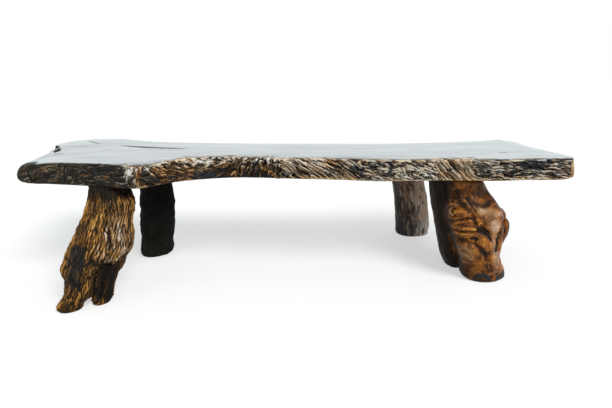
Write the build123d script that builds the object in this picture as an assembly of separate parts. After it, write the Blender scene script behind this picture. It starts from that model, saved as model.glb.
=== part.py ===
from build123d import *
import math
import os
from typing import NamedTuple

# Rustic log bench: one live-edge slab on four natural limbs. Millimetres, +Z up, +X along
# the seat, +Y to its back. The origin is the middle of the bench's box, on the floor.

# ---- driving dimensions ----
SEAT_HEIGHT = 450.0            # middle of the seat above the floor
SLAB_THICKNESS = 73.0
UNDERSIDE = SEAT_HEIGHT - SLAB_THICKNESS

TENON_RADIUS = 32.0            # round tenon on the head of each leg
TENON_LENGTH = 50.0
MORTISE_CLEARANCE = 0.15       # on the radius
MORTISE_SPARE = 1.0            # depth left over a tenon
WEDGE_LENGTH = 38.0            # a wedge spreads each tenon inside its blind mortise
WEDGE_THICK_END = 6.0
WEDGE_THIN_END = 2.0

LIMB_POINTS = 12               # round each level cut of a limb
LIMB_LOBES = 3
RIM_ROUNDING = 9.0             # worn arris round the top of the slab
SOLE_ROUNDING = 8.0            # same, round its underside
NOSE_ROUNDING = 34.0           # how far the nose's top falls back from its tip
NOSE_START = 0.3               # share of the thickness where it begins to fall back
NOSE_SOLE = 1.6                # extra rounding under the nose, in sole roundings
SLAB_LEVELS = (0.0, 0.07, 0.16, 0.35, 0.6, 0.85, 1.0, 1.2)  # shares of the thickness
TOP_STEP = 90.0                # spacing of the points that shape the seat's top
TOP_CORNER = (-1080.0, -400.0)  # first of those points, and how many follow in X and Y
TOP_COUNTS = (26, 12)
OVERLAP = 10.0                 # how far a bar or a cutter reaches past a face


class RimPoint(NamedTuple):
    """A point of the slab's edge at half its thickness."""
    x: float
    y: float
    lean: float = 0.0          # how far the edge runs out from its top to its underside
    nose: float = 0.0          # 1 where the end is rounded over like a nose, 0 where it is square


# Counter-clockwise, from the rounded front left lobe along the front edge.
RIM = [
    RimPoint(-872, -176, 8, 0.9),
    RimPoint(-722, -207, 8),
    RimPoint(-565, -260, 0),
    RimPoint(-520, -277, -4),
    RimPoint(-484, -276, -8),
    RimPoint(-452, -249, -12),
    RimPoint(-424, -210, 0),
    RimPoint(-390, -170, 26),
    RimPoint(-341, -143, 42),
    RimPoint(-278, -131, 34),
    RimPoint(-191, -139, 0),
    RimPoint(-114, -154, -8),
    RimPoint(16, -180, 0),
    RimPoint(151, -199, 15),
    RimPoint(268, -226, 26),
    RimPoint(360, -240, 14),
    RimPoint(448, -248, 0),
    RimPoint(583, -258, 0),
    RimPoint(680, -271, 0),
    RimPoint(790, -266, 0),
    RimPoint(946, -257, 0),
    RimPoint(971, -236, 0),
    RimPoint(988, -110, 0),
    RimPoint(1012, 110, 0),
    RimPoint(1018, 226, 0),
    RimPoint(994, 250, 0),
    RimPoint(915, 237, 0),
    RimPoint(799, 217, 0),
    RimPoint(640, 202, 0),
    RimPoint(484, 191, 0),
    RimPoint(307, 199, 0),
    RimPoint(45, 221, 0),
    RimPoint(-217, 251, 0),
    RimPoint(-395, 287, 0),
    RimPoint(-634, 338, 0),
    RimPoint(-700, 375, 0),
    RimPoint(-822, 420, 0),
    RimPoint(-885, 408, 0, 0.2),
    RimPoint(-938, 372, 0, 0.3),
    RimPoint(-979, 310, 0, 0.3),
    RimPoint(-992, 250, 0, 0.3),
    RimPoint(-974, 212, 0, 0.2),
    RimPoint(-936, 186, 0, 0.2),
    RimPoint(-926, 150, 0, 0.2),
    RimPoint(-937, 110, 0, 0.4),
    RimPoint(-932, 50, 0, 0.6),
    RimPoint(-930, -20, 0, 0.8),
    RimPoint(-930, -80, 0, 1.0),
    RimPoint(-927, -132, 0, 1.0),
    RimPoint(-911, -165, 4, 1.0),
]


class Swell(NamedTuple):
    """A soft rise or fall of the seat's top."""
    x: float
    y: float
    reach_x: float
    reach_y: float
    height: float


SWELLS = [
    Swell(-880, 360, 280, 190, 8.0),       # the flared root end cups upwards
    Swell(1000, 260, 180, 130, 4.0),       # back right corner
    Swell(-950, -170, 110, 150, -20.0),    # the front left lobe droops
]


# ---- slab ----
def outward(rim, index):
    """Unit normal of the closed outline at one of its points, away from the slab."""
    before, after = rim[index - 1], rim[(index + 1) % len(rim)]
    along = Vector(after.x - before.x, after.y - before.y).normalized()
    return Vector(along.Y, -along.X)


def edge_offset(point, share):
    """Offset of the edge at a share of the thickness: 0 is the underside, 1 the top."""
    lean = point.lean * (0.5 - share)
    sole = SOLE_ROUNDING * (1 + NOSE_SOLE * point.nose)
    sole_depth = sole / SLAB_THICKNESS
    below = max(0.0, 1 - share / sole_depth)
    over = min(1.0, max(0.0, share - NOSE_START) / (1 - NOSE_START))
    return lean - sole * below ** 2 - NOSE_ROUNDING * point.nose * over ** 2


def slab_section(share):
    """Closed outline of the slab at a share of its thickness."""
    height = UNDERSIDE + share * SLAB_THICKNESS
    corners = []
    for index, point in enumerate(RIM):
        out = outward(RIM, index) * edge_offset(point, share)
        corners.append((point.x + out.X, point.y + out.Y, height))
    return Wire([Edge.make_spline(corners, periodic=True)])


def top_height(x, y):
    """Height of the seat's top above the floor."""
    height = SEAT_HEIGHT
    for swell in SWELLS:
        away = ((x - swell.x) / swell.reach_x) ** 2 + ((y - swell.y) / swell.reach_y) ** 2
        height += swell.height * math.exp(-away)
    return height


def above_seat():
    """The space over the seat's gently uneven top."""
    xs, ys = [[start + TOP_STEP * index for index in range(count)]
              for start, count in zip(TOP_CORNER, TOP_COUNTS)]
    rows = [[Vector(x, y, top_height(x, y)) for y in ys] for x in xs]
    return Solid.extrude(Face.make_surface_from_array_of_points(rows), Vector(0, 0, SLAB_THICKNESS))


def make_slab():
    """The slab with four blind mortises in its underside."""
    slab = Solid.make_loft([slab_section(share) for share in SLAB_LEVELS])
    slab = slab - above_seat()
    rim = slab.faces().sort_by(Axis.Z)[-1].edges()
    slab = fillet(rim, RIM_ROUNDING)
    for leg in LEGS:
        x, y = leg.tenon
        radius = TENON_RADIUS + MORTISE_CLEARANCE
        depth = TENON_LENGTH + MORTISE_SPARE
        slab = slab - column(x, y, radius, UNDERSIDE - OVERLAP, depth + OVERLAP)
    return slab


# ---- legs ----
class Cut(NamedTuple):
    """A level cut through a limb: its middle and its half sizes."""
    x: float
    y: float
    half_width: float
    half_depth: float


class Limb(NamedTuple):
    """One natural limb with soft lengthwise lobes, cut at even steps of height."""
    bottom: float
    top: float
    cuts: list
    lobe_depth: float = 0.03
    turn: float = 0.0          # degrees that the lobes are turned by
    sole: float = 0.0          # rounding round the foot


class Leg(NamedTuple):
    name: str
    tenon: tuple               # centre of the tenon and its mortise
    limbs: list


LEGS = [
    Leg("front_left", (-613, -176), [
        Limb(0, UNDERSIDE, [                    # trunk and the outer toe
            Cut(-732, -324, 36, 36),
            Cut(-709, -313, 42, 42),
            Cut(-702, -298, 46, 48),
            Cut(-680, -280, 76, 56),
            Cut(-643, -260, 98, 62),
            Cut(-631, -239, 88, 62),
            Cut(-621, -217, 80, 60),
            Cut(-614, -196, 73, 59),
            Cut(-613, -178, 73, 58),
        ], sole=7),
        Limb(0, 282, [                          # inner toe
            Cut(-655, -286, 28, 31),
            Cut(-643, -280, 31, 37),
            Cut(-632, -272, 36, 42),
            Cut(-613, -261, 47, 50),
            Cut(-598, -248, 54, 50),
            Cut(-598, -234, 52, 49),
            Cut(-600, -218, 50, 47),
        ], turn=34, sole=7),
    ]),
    Leg("back_left", (-548, 95), [
        Limb(0, UNDERSIDE, [
            Cut(-586, 128, 60, 66),
            Cut(-579, 124, 65, 70),
            Cut(-572, 120, 66, 69),
            Cut(-566, 115, 68, 68),
            Cut(-560, 110, 67, 67),
            Cut(-555, 106, 66, 66),
            Cut(-552, 102, 65, 66),
            Cut(-551, 98, 64, 65),
            Cut(-550, 95, 64, 65),
        ], sole=12),
    ]),
    Leg("front_right", (592, -130), [
        Limb(0, UNDERSIDE, [                    # dark trunk at the back of the burl
            Cut(655, -100, 48, 50),
            Cut(638, -102, 54, 54),
            Cut(624, -102, 54, 55),
            Cut(611, -102, 54, 56),
            Cut(599, -102, 55, 56),
            Cut(587, -102, 55, 56),
            Cut(577, -103, 56, 56),
            Cut(569, -104, 56, 56),
            Cut(563, -106, 56, 56),
        ], lobe_depth=0.05, sole=8),
        Limb(0, UNDERSIDE, [                    # burl and its toe
            Cut(704, -212, 76, 60),
            Cut(691, -209, 79, 65),
            Cut(679, -205, 81, 71),
            Cut(670, -200, 90, 79),
            Cut(663, -192, 98, 82),
            Cut(651, -182, 101, 81),
            Cut(640, -170, 92, 76),
            Cut(626, -160, 76, 70),
            Cut(608, -150, 69, 62),
        ], lobe_depth=0.04, turn=20, sole=9),
        Limb(60, 260, [                         # ear on the burl's outer side
            Cut(718, -176, 14, 26),
            Cut(742, -172, 24, 33),
            Cut(768, -165, 34, 38),
            Cut(770, -165, 33, 37),
            Cut(722, -170, 18, 27),
        ], lobe_depth=0.0),
    ]),
    Leg("back_right", (492, 118), [
        Limb(0, UNDERSIDE, [
            Cut(600, 274, 79, 69),
            Cut(588, 256, 80, 72),
            Cut(577, 236, 77, 72),
            Cut(564, 215, 75, 71),
            Cut(552, 195, 74, 70),
            Cut(537, 174, 72, 68),
            Cut(520, 152, 71, 66),
            Cut(504, 132, 70, 65),
            Cut(490, 116, 69, 64),
        ], turn=50, sole=8),
    ]),
]


def column(x, y, radius, bottom, height):
    """An upright round bar or bore."""
    return Solid.make_cylinder(radius, height, Plane((x, y, bottom)))


def limb_section(limb, cut, height):
    """Closed outline of a limb at one of its cuts."""
    points = []
    for step in range(LIMB_POINTS):
        angle = 2 * math.pi * step / LIMB_POINTS
        ripple = math.cos(LIMB_LOBES * angle + math.radians(limb.turn))
        swell = 1 + limb.lobe_depth * ripple
        x = cut.x + cut.half_width * swell * math.cos(angle)
        y = cut.y + cut.half_depth * swell * math.sin(angle)
        points.append((x, y, height))
    return Wire([Edge.make_spline(points, periodic=True)])


def make_limb(limb):
    """Smooth solid through a limb's cuts, its foot rounded."""
    step = (limb.top - limb.bottom) / (len(limb.cuts) - 1)
    outlines = [limb_section(limb, cut, limb.bottom + index * step)
                for index, cut in enumerate(limb.cuts)]
    body = Solid.make_loft(outlines)
    if limb.sole:
        foot = body.faces().sort_by(Axis.Z)[0]
        body = fillet(foot.edges(), limb.sole)
    return body


def wedge_blank(x, y):
    """Tapered bar that spreads a tenon along the slab's grain, wider than the tenon."""
    top = UNDERSIDE + TENON_LENGTH
    bottom = top - WEDGE_LENGTH
    profile = Polyline(
        (x - WEDGE_THICK_END / 2, top), (x + WEDGE_THICK_END / 2, top),
        (x + WEDGE_THIN_END / 2, bottom), (x - WEDGE_THIN_END / 2, bottom), close=True)
    reach = TENON_RADIUS + OVERLAP
    side = Plane((0, y + reach, 0), x_dir=(1, 0, 0), z_dir=(0, -1, 0))
    return extrude(side * make_face(profile), 2 * reach)


def make_leg(leg):
    """The leg with its kerfed tenon, and the wedge that sits in the kerf."""
    body = make_limb(leg.limbs[0])
    for limb in leg.limbs[1:]:
        body = body + make_limb(limb)
    x, y = leg.tenon
    tenon = column(x, y, TENON_RADIUS, UNDERSIDE - OVERLAP, TENON_LENGTH + OVERLAP)
    wedge = wedge_blank(x, y) & tenon
    return body + tenon - wedge, wedge


def make_bench():
    """Every piece by its node name."""
    pieces = {"seat_slab": make_slab()}
    for leg in LEGS:
        body, wedge = make_leg(leg)
        pieces["leg_" + leg.name] = body
        pieces["wedge_" + leg.name] = wedge
    return pieces


if __name__ == "__main__":
    os.makedirs("parts", exist_ok=True)
    bench = make_bench()
    box = Compound(list(bench.values())).bounding_box()
    centre = box.center()
    to_origin = Location((-centre.X, -centre.Y, 0))
    print("centre", centre, "size", box.size)
    for name, piece in bench.items():
        export_step(to_origin * piece, f"parts/{name}.step")
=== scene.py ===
"""Looks of a rustic log bench: a live-edge slab on four natural limbs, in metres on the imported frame."""
import logging
import math
from dataclasses import dataclass
from enum import Enum
from itertools import product
from typing import Callable, Optional, Sequence

import bpy
import numpy as np
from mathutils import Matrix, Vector


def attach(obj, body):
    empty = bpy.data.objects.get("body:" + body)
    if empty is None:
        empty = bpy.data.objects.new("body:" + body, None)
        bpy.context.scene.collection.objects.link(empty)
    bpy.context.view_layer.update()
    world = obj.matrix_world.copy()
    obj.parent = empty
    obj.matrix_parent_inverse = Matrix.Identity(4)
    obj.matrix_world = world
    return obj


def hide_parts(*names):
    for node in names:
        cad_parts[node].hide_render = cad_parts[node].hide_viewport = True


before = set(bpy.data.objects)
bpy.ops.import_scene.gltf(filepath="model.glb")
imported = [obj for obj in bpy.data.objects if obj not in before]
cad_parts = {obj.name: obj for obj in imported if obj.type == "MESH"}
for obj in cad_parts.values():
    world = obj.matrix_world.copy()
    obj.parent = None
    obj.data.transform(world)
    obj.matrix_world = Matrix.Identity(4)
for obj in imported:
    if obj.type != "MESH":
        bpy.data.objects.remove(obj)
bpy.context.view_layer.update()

log = logging.getLogger("bench")

MM = 0.001
BODY = "root"
UNDERSIDE = 0.377
SEAT = 0.450
FILLET = 9 * MM
CAMERA_PLACE = (-0.0973, -1.5416, 0.674)
# Tones painted on each piece: deep is painted shade in hollows and cracks, and pale holds painted highlights
# as well as the wood's own tone.
TONES = ("pale", "warm", "stain", "deep")
FAR = 9.0
MEAN_TONE = 0.5
MEAN_RIDGE = 0.6

Band = tuple[float, float]
Line = tuple[tuple[float, float], ...]
Size = tuple[float, float, float]
Colour = tuple[float, float, float]
Palette = tuple[Colour, Colour, Colour, Colour]
Fields = dict[str, np.ndarray]


# ---------------------------------------------------------------- numbers over a surface
def smoothstep(low: float, high: float, value: np.ndarray) -> np.ndarray:
    """Eases from 0 at low to 1 at high."""
    share = np.clip((value - low) / (high - low), 0.0, 1.0)
    return share * share * (3.0 - 2.0 * share)


def window(start: float, end: float, soft: float, value: np.ndarray) -> np.ndarray:
    """Eases up to 1 between start and end, and is 0 outside them."""
    return smoothstep(start - soft, start + soft, value) * (1 - smoothstep(end - soft, end + soft, value))


class Noise:
    """Seeded gradient noise in three directions."""

    cells = 256
    gain = 1.6
    layer_shift = 17.3
    ridge_shift = 31.7
    ridge_ratio = 1.9
    ridge_slope = 1.7

    def __init__(self, seed: int) -> None:
        """Shuffles the table of slopes.

        Args:
            seed: picks the pattern.
        """
        draw = np.random.default_rng(seed)
        self.order = np.tile(draw.permutation(self.cells), 3)
        slopes = draw.normal(size=(self.cells, 3))
        self.slopes = slopes / np.linalg.norm(slopes, axis=1, keepdims=True)
        self.values = draw.random((self.cells, 3))

    def _pick(self, cell: np.ndarray) -> np.ndarray:
        """Looks cells up in the shuffled table.

        Args:
            cell: whole numbers, one row a point.

        Returns:
            The table's row for each point.
        """
        wrapped = cell & (self.cells - 1)
        row = self.order[wrapped[:, 0]]
        for axis in range(1, cell.shape[1]):
            row = self.order[row + wrapped[:, axis]]
        return row

    def soft(self, points: np.ndarray) -> np.ndarray:
        """Smooth noise of about -1 to 1.

        Args:
            points: one row of three numbers a point, already divided by the pattern's size.

        Returns:
            One number a point.
        """
        cell = np.floor(points).astype(np.int64)
        local = points - cell
        ease = local ** 3 * (local * (local * 6 - 15) + 10)
        total = np.zeros(len(points))
        for corner in product((0, 1), repeat=3):
            step = np.array(corner)
            slope = self.slopes[self._pick(cell + step)]
            share = np.where(step, ease, 1 - ease).prod(axis=1)
            total += share * ((local - step) * slope).sum(axis=1)
        return total * self.gain

    def layered(self, points: np.ndarray, layers: int = 3) -> np.ndarray:
        """Noise with finer and fainter noise on top.

        Args:
            points: as for soft.
            layers: how many layers there are.

        Returns:
            One number a point.
        """
        total = np.zeros(len(points))
        for layer in range(layers):
            total += self.soft(points * 2.0 ** layer + self.layer_shift * layer) * 0.5 ** layer
        return total

    def ridges(self, points: np.ndarray, layers: int = 2) -> np.ndarray:
        """Sharp crests with round furrows between them.

        Args:
            points: as for soft.
            layers: how many layers there are.

        Returns:
            1 on the crests, falling towards 0.
        """
        total, weight = np.zeros(len(points)), 0.0
        for layer in range(layers):
            finer = points * self.ridge_ratio ** layer + self.ridge_shift * layer
            crest = 1 - np.abs(self.soft(finer)) * self.ridge_slope
            total += np.clip(crest, 0, 1) * 0.5 ** layer
            weight += 0.5 ** layer
        return total / weight

    def furrows(self, points: np.ndarray, width: float) -> np.ndarray:
        """Broad rounded crests of 1 with narrow furrows of 0 between them."""
        away = np.clip(np.abs(self.soft(points)) / width, 0, 1)
        return np.sqrt(away * (2 - away))

    def flakes(self, along: np.ndarray, across: np.ndarray,
               pointed: bool = False) -> tuple[np.ndarray, np.ndarray, np.ndarray]:
        """Overlapping irregular plates, one to each unit square.

        Args:
            along: coordinate along the plates, divided by their length.
            across: coordinate across the plates, divided by their width.
            pointed: whether the plates run out to points.

        Returns:
            Distance from the plate's border, the plate's own random tone, and the place across the
            plate from its middle.
        """
        square = np.stack([np.floor(along), np.floor(across)], axis=1).astype(np.int64)
        near, second = np.full((2, len(along)), FAR)
        tone, offset = np.zeros((2, len(along)))
        for step in product((-1, 0, 1), repeat=2):
            cell = square + np.array(step)
            chance = self.values[self._pick(cell)]
            away_along = along - cell[:, 0] - chance[:, 0]
            away_across = across - cell[:, 1] - chance[:, 1]
            if pointed:
                away = np.abs(away_along) + np.abs(away_across)
            else:
                away = np.hypot(away_along, away_across)
            closer = away < near
            second = np.where(closer, near, np.minimum(second, away))
            tone = np.where(closer, chance[:, 2], tone)
            offset = np.where(closer, away_across, offset)
            near = np.where(closer, away, near)
        return second - near, tone, offset


# ---------------------------------------------------------------- clay
class Clay:
    """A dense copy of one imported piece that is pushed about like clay."""

    weld = 0.02 * MM
    pull = 0.6

    def __init__(self, node: str, name: str, grid: float) -> None:
        """Copies the piece and gives it an even grid of small faces.

        Args:
            node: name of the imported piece.
            name: name of the new piece.
            grid: size of a face.
        """
        self.node = node
        self.piece = bpy.data.objects.new(name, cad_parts[node].data.copy())
        bpy.context.scene.collection.objects.link(self.piece)
        self.piece.data.materials.clear()
        self._only()
        bpy.ops.object.mode_set(mode="EDIT")
        bpy.ops.mesh.select_all(action="SELECT")
        bpy.ops.mesh.remove_doubles(threshold=self.weld)
        bpy.ops.object.mode_set(mode="OBJECT")
        remesh = self.piece.modifiers.new("grid", "REMESH")
        remesh.mode = "VOXEL"
        remesh.voxel_size = grid
        bpy.ops.object.modifier_apply(modifier=remesh.name)
        self.read()

    def _only(self) -> None:
        """Makes the piece the one selected object."""
        bpy.ops.object.select_all(action="DESELECT")
        self.piece.select_set(True)
        bpy.context.view_layer.objects.active = self.piece

    def _rows(self, quantity: str) -> np.ndarray:
        """Reads one quantity of the mesh's points.

        Args:
            quantity: its name in the mesh.

        Returns:
            A row of three numbers a point.
        """
        values = np.empty(self.count * 3)
        self.piece.data.vertices.foreach_get(quantity, values)
        return values.reshape(-1, 3)

    def read(self) -> None:
        """Reads the mesh's points, normals and edges."""
        mesh = self.piece.data
        self.count = len(mesh.vertices)
        self.points, self.normals = self._rows("co"), self._rows("normal")
        edges = np.empty(len(mesh.edges) * 2, dtype=np.int64)
        mesh.edges.foreach_get("vertices", edges)
        self.edges = edges.reshape(-1, 2)

    def write(self) -> None:
        """Writes the points back and reads the new normals."""
        mesh = self.piece.data
        mesh.vertices.foreach_set("co", self.points.ravel())
        mesh.update()
        self.normals = self._rows("normal")

    def push(self, amount: np.ndarray) -> None:
        """Moves each point out along its normal by its own amount."""
        self.points = self.points + self.normals * amount[:, None]
        self.write()

    def eased(self, values: np.ndarray, rounds: int) -> np.ndarray:
        """Averages values with their neighbours'.

        Args:
            values: one number a point.
            rounds: how many times.

        Returns:
            The smoothed values.
        """
        first, last = self.edges[:, 0], self.edges[:, 1]
        links = np.bincount(first, minlength=self.count) + np.bincount(last, minlength=self.count)
        for _ in range(rounds):
            total = np.bincount(first, values[last], self.count)
            total += np.bincount(last, values[first], self.count)
            values = (1 - self.pull) * values + self.pull * total / np.maximum(links, 1)
        return values

    def calmed(self, rounds: int) -> np.ndarray:
        """Places of the points on a surface smoothed a number of times."""
        return np.stack([self.eased(self.points[:, axis], rounds) for axis in range(3)], axis=1)

    def bulge(self, rounds: int) -> np.ndarray:
        """How far each point stands out from its surroundings: crests are positive, hollows negative."""
        return ((self.points - self.calmed(rounds)) * self.normals).sum(axis=1)

    def fill(self, share: np.ndarray, rounds: int) -> None:
        """Draws the surface towards a smoothed one, by each point's share."""
        self.points = self.points + share[:, None] * (self.calmed(rounds) - self.points)
        self.write()

    def paint(self, name: str, values: np.ndarray) -> None:
        """Keeps one number a point for the finish to read."""
        layer = self.piece.data.attributes.new(name, "FLOAT", "POINT")
        layer.data.foreach_set("value", np.asarray(values, dtype=np.float32))

    def thin(self, triangles: int) -> None:
        """Takes out faces where the shape is plain.

        Args:
            triangles: about how many are left.
        """
        now = 2 * len(self.piece.data.polygons)
        if now > triangles:
            self._only()
            fewer = self.piece.modifiers.new("fewer", "DECIMATE")
            fewer.ratio = triangles / now
            bpy.ops.object.modifier_apply(modifier=fewer.name)

    def done(self, slot: str, finish: bpy.types.Material) -> bpy.types.Object:
        """Shades the piece smooth, dresses it and puts it in the frame in its node's place.

        Args:
            slot: the record's material slot, which is not used.
            finish: the material.

        Returns:
            The finished piece.
        """
        self._only()
        bpy.ops.object.shade_smooth()
        self.piece.data.materials.append(finish)
        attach(self.piece, BODY)
        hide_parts(self.node)
        log.info("%s: %d faces", self.piece.name, len(self.piece.data.polygons))
        return self.piece


# ---------------------------------------------------------------- materials
def operator(operation: str, swapped: bool = False) -> Callable[["Value", "Number"], "Value"]:
    """Makes a method that works out a sum.

    Args:
        operation: the sum, as the node names it.
        swapped: whether the other number comes first.

    Returns:
        The method.
    """

    def method(value: "Value", other: "Number") -> "Value":
        """The sum's result."""
        pair = (other, value) if swapped else (value, other)
        return value.nodes.maths(operation, *pair)

    return method


class Value:
    """One output of a material's nodes, which adds, multiplies and so on like a number."""

    def __init__(self, nodes: "Nodes", socket: bpy.types.NodeSocket) -> None:
        """Wraps a socket of that material."""
        self.nodes = nodes
        self.socket = socket

    __add__ = __radd__ = operator("ADD")
    __mul__ = __rmul__ = operator("MULTIPLY")
    __sub__ = operator("SUBTRACT")
    __rsub__ = operator("SUBTRACT", swapped=True)

    def clamped(self) -> "Value":
        """The value held between 0 and 1."""
        return self.nodes.maths("ADD", self, 0.0, clamp=True)


Number = Value | float


class Nodes:
    """Builds the nodes of one material or world."""

    def __init__(self, owner: bpy.types.Material | bpy.types.World) -> None:
        """Empties the node tree.

        Args:
            owner: the material or world.
        """
        self.owner = owner
        owner.use_nodes = True
        self.tree = owner.node_tree
        self.tree.nodes.clear()
        self.place = self.node("ShaderNodeTexCoord").outputs["Object"]

    @classmethod
    def material(cls, name: str) -> "Nodes":
        """Starts a new material."""
        return cls(bpy.data.materials.new(name))

    def ray(self, kind: str) -> "Value":
        """1 for rays of that kind, such as camera or glossy ones."""
        return Value(self, self.node("ShaderNodeLightPath").outputs[f"Is {kind} Ray"])

    def node(self, kind: str, settings: Optional[dict] = None,
             inputs: Optional[dict] = None) -> bpy.types.Node:
        """Adds a node.

        Args:
            kind: the node's type.
            settings: its properties.
            inputs: what goes into its sockets: values, sockets or constants.

        Returns:
            The node.
        """
        made = self.tree.nodes.new(kind)
        for name, setting in (settings or {}).items():
            setattr(made, name, setting)
        for name, given in (inputs or {}).items():
            if isinstance(given, Value):
                given = given.socket
            if isinstance(given, bpy.types.NodeSocket):
                self.tree.links.new(given, made.inputs[name])
            elif isinstance(given, tuple) and made.inputs[name].type == "RGBA":
                made.inputs[name].default_value = (*given, 1.0)
            else:
                made.inputs[name].default_value = given
        return made

    def maths(self, operation: str, *values: Number, clamp: bool = False) -> Value:
        """Works out one sum.

        Args:
            operation: the sum, as the node names it.
            values: the numbers it takes.
            clamp: whether the result is held between 0 and 1.

        Returns:
            The result.
        """
        settings = {"operation": operation, "use_clamp": clamp}
        made = self.node("ShaderNodeMath", settings, dict(enumerate(values)))
        return Value(self, made.outputs[0])

    def painted(self, name: str) -> Value:
        """A number that was painted on the piece's points."""
        made = self.node("ShaderNodeAttribute", {"attribute_name": name})
        return Value(self, made.outputs["Fac"])

    def speckle(self, size: Size, detail: float = 3, twist: float = 0.0) -> Value:
        """Noise of about 0.2 to 0.8.

        Args:
            size: size of the pattern along X, Y and Z, in metres.
            detail: finer layers on top.
            twist: how much the pattern curls.

        Returns:
            The noise.
        """
        scale = tuple(1 / length for length in size)
        spot = self.node("ShaderNodeMapping", {}, {"Vector": self.place, "Scale": scale})
        made = self.node("ShaderNodeTexNoise", {}, {
            "Vector": spot.outputs[0], "Scale": 1.0, "Detail": float(detail), "Roughness": 0.6,
            "Distortion": twist})
        return Value(self, made.outputs["Fac"])

    def stepped(self, value: Number, low: float, high: float) -> Value:
        """Eases from 0 to 1.

        Args:
            value: the number.
            low: up to where the result is 0.
            high: from where it is 1.

        Returns:
            The result.
        """
        made = self.node("ShaderNodeMapRange", {"interpolation_type": "SMOOTHSTEP"}, {
            "Value": value, "From Min": low, "From Max": high})
        return Value(self, made.outputs[0])

    def shades(self, value: Number, colours: Sequence[tuple[float, Colour]]) -> Value:
        """Turns a number into a colour.

        Args:
            value: the number.
            colours: where each colour lies between 0 and 1, lowest first.

        Returns:
            The colour.
        """
        made = self.node("ShaderNodeValToRGB", {}, {"Fac": value})
        stops = made.color_ramp.elements
        while len(stops) < len(colours):
            stops.new(1.0)
        for stop, (spot, colour) in zip(stops, colours):
            stop.position = spot
            stop.color = (*colour, 1.0)
        return Value(self, made.outputs["Color"])

    def blend(self, share: Number, first: Value | Colour, second: Value | Colour) -> Value:
        """Mixes two colours.

        Args:
            share: 0 for the first colour, 1 for the second.
            first: a colour.
            second: another.

        Returns:
            The mix.
        """
        settings = {"data_type": "RGBA", "blend_type": "MIX", "clamp_factor": True}
        made = self.node("ShaderNodeMix", settings, {0: share, 6: first, 7: second})
        return Value(self, made.outputs[2])

    def bumps(self, height: Number, depth: float) -> Value:
        """Normal of fine relief that the mesh is too coarse for.

        Args:
            height: the relief, from 0 to 1.
            depth: its depth in metres.

        Returns:
            The normal.
        """
        made = self.node("ShaderNodeBump", {}, {"Height": height, "Distance": depth, "Strength": 1.0})
        return Value(self, made.outputs[0])

    def surface(self, **inputs: Number | Colour) -> Value:
        """Adds a principled surface.

        Args:
            inputs: its inputs by name, with underscores for spaces.

        Returns:
            The surface.
        """
        named = {name.replace("_", " "): given for name, given in inputs.items()}
        made = self.node("ShaderNodeBsdfPrincipled", {}, named)
        return Value(self, made.outputs[0])

    def either(self, share: Number, first: Value, second: Value) -> Value:
        """Mixes two surfaces."""
        made = self.node("ShaderNodeMixShader", {}, {0: share, 1: first, 2: second})
        return Value(self, made.outputs[0])

    def output(self, surface: Value) -> bpy.types.Material:
        """Finishes the material with that surface."""
        self.node("ShaderNodeOutputMaterial", {}, {"Surface": surface})
        return self.owner


class Slot(Enum):
    """Material slots of the record."""

    SLAB = "slab_wood"
    ROOT = "root_wood"
    # the back left log: dark wood whose near-black colour is painted shade under the slab
    CHARRED = "charred_wood"
    BURL = "burl_wood"
    WEATHERED = "weathered_wood"
    WEDGE = "wedge_wood"


@dataclass(frozen=True)
class WoodFinish:
    """Bare or lacquered wood whose tone, warmth, stain and hollows are painted on its points.

    The painted numbers are pale (0 dark to 1 light, which also holds painted highlights), warm (0 grey to 1
    orange), stain (blue-black) and deep (painted shade in hollows and cracks).
    """

    name: str
    cool: Palette
    hot: Palette
    stain: Colour = (0.022, 0.026, 0.032)
    # near-black of the painted shade in hollows and cracks
    deep: Colour = (0.006, 0.005, 0.004)
    gloss: float = 0.15
    rough: float = 0.6
    coat: float = 0.0
    coat_rough: float = 0.3
    grain: Size = (0.004, 0.004, 0.05)
    grain_depth: float = 0.6 * MM
    fleck: float = 0.012
    stops: tuple[float, float, float, float] = (0.0, 0.3, 0.62, 1.0)

    def colour(self, nodes: Nodes) -> tuple[Value, Value]:
        """Colour and fine relief.

        Args:
            nodes: the material being built.

        Returns:
            The colour and the relief.
        """
        fibres = nodes.speckle(self.grain, 4, 0.4)
        flecks = nodes.speckle((self.fleck,) * 3, 4, 0.6)
        patches = nodes.speckle((6 * self.fleck,) * 3, 3, 0.3)
        tone = (nodes.painted("pale") + (fibres - 0.5) * 0.55 + (flecks - 0.5) * 0.45).clamped()
        heat = (nodes.painted("warm") + (patches - 0.5) * 0.9 + (flecks - 0.5) * 0.5).clamped()
        grey = nodes.shades(tone, list(zip(self.stops, self.cool)))
        orange = nodes.shades(tone, list(zip(self.stops, self.hot)))
        wood = nodes.blend(heat, grey, orange)
        blot = nodes.stepped(nodes.painted("stain") + (flecks - 0.5) * 0.8, 0.35, 0.65)
        wood = nodes.blend(blot * 0.85, wood, self.stain)
        # painted shade: deep hollows and cracks turn near-black
        hollow = nodes.stepped(nodes.painted("deep") + (fibres - 0.5) * 0.3, 0.25, 0.95)
        wood = nodes.blend(hollow, wood, self.deep)
        return wood, fibres * 0.6 + flecks * 0.4

    def bare(self, nodes: Nodes) -> Value:
        """Makes the wood's surface, to mix with another or to use alone.

        Args:
            nodes: the material being built.

        Returns:
            The surface.
        """
        colour, relief = self.colour(nodes)
        polish = nodes.stepped(nodes.painted("pale") - nodes.painted("deep"), 0.15, 0.75) * self.coat
        return nodes.surface(
            Base_Color=colour, Roughness=self.rough, Specular_IOR_Level=self.gloss, Coat_Weight=polish,
            Coat_Roughness=self.coat_rough, Normal=nodes.bumps(relief, self.grain_depth))

    def build(self) -> bpy.types.Material:
        """The finished material."""
        nodes = Nodes.material(self.name)
        return nodes.output(self.bare(nodes))


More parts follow.
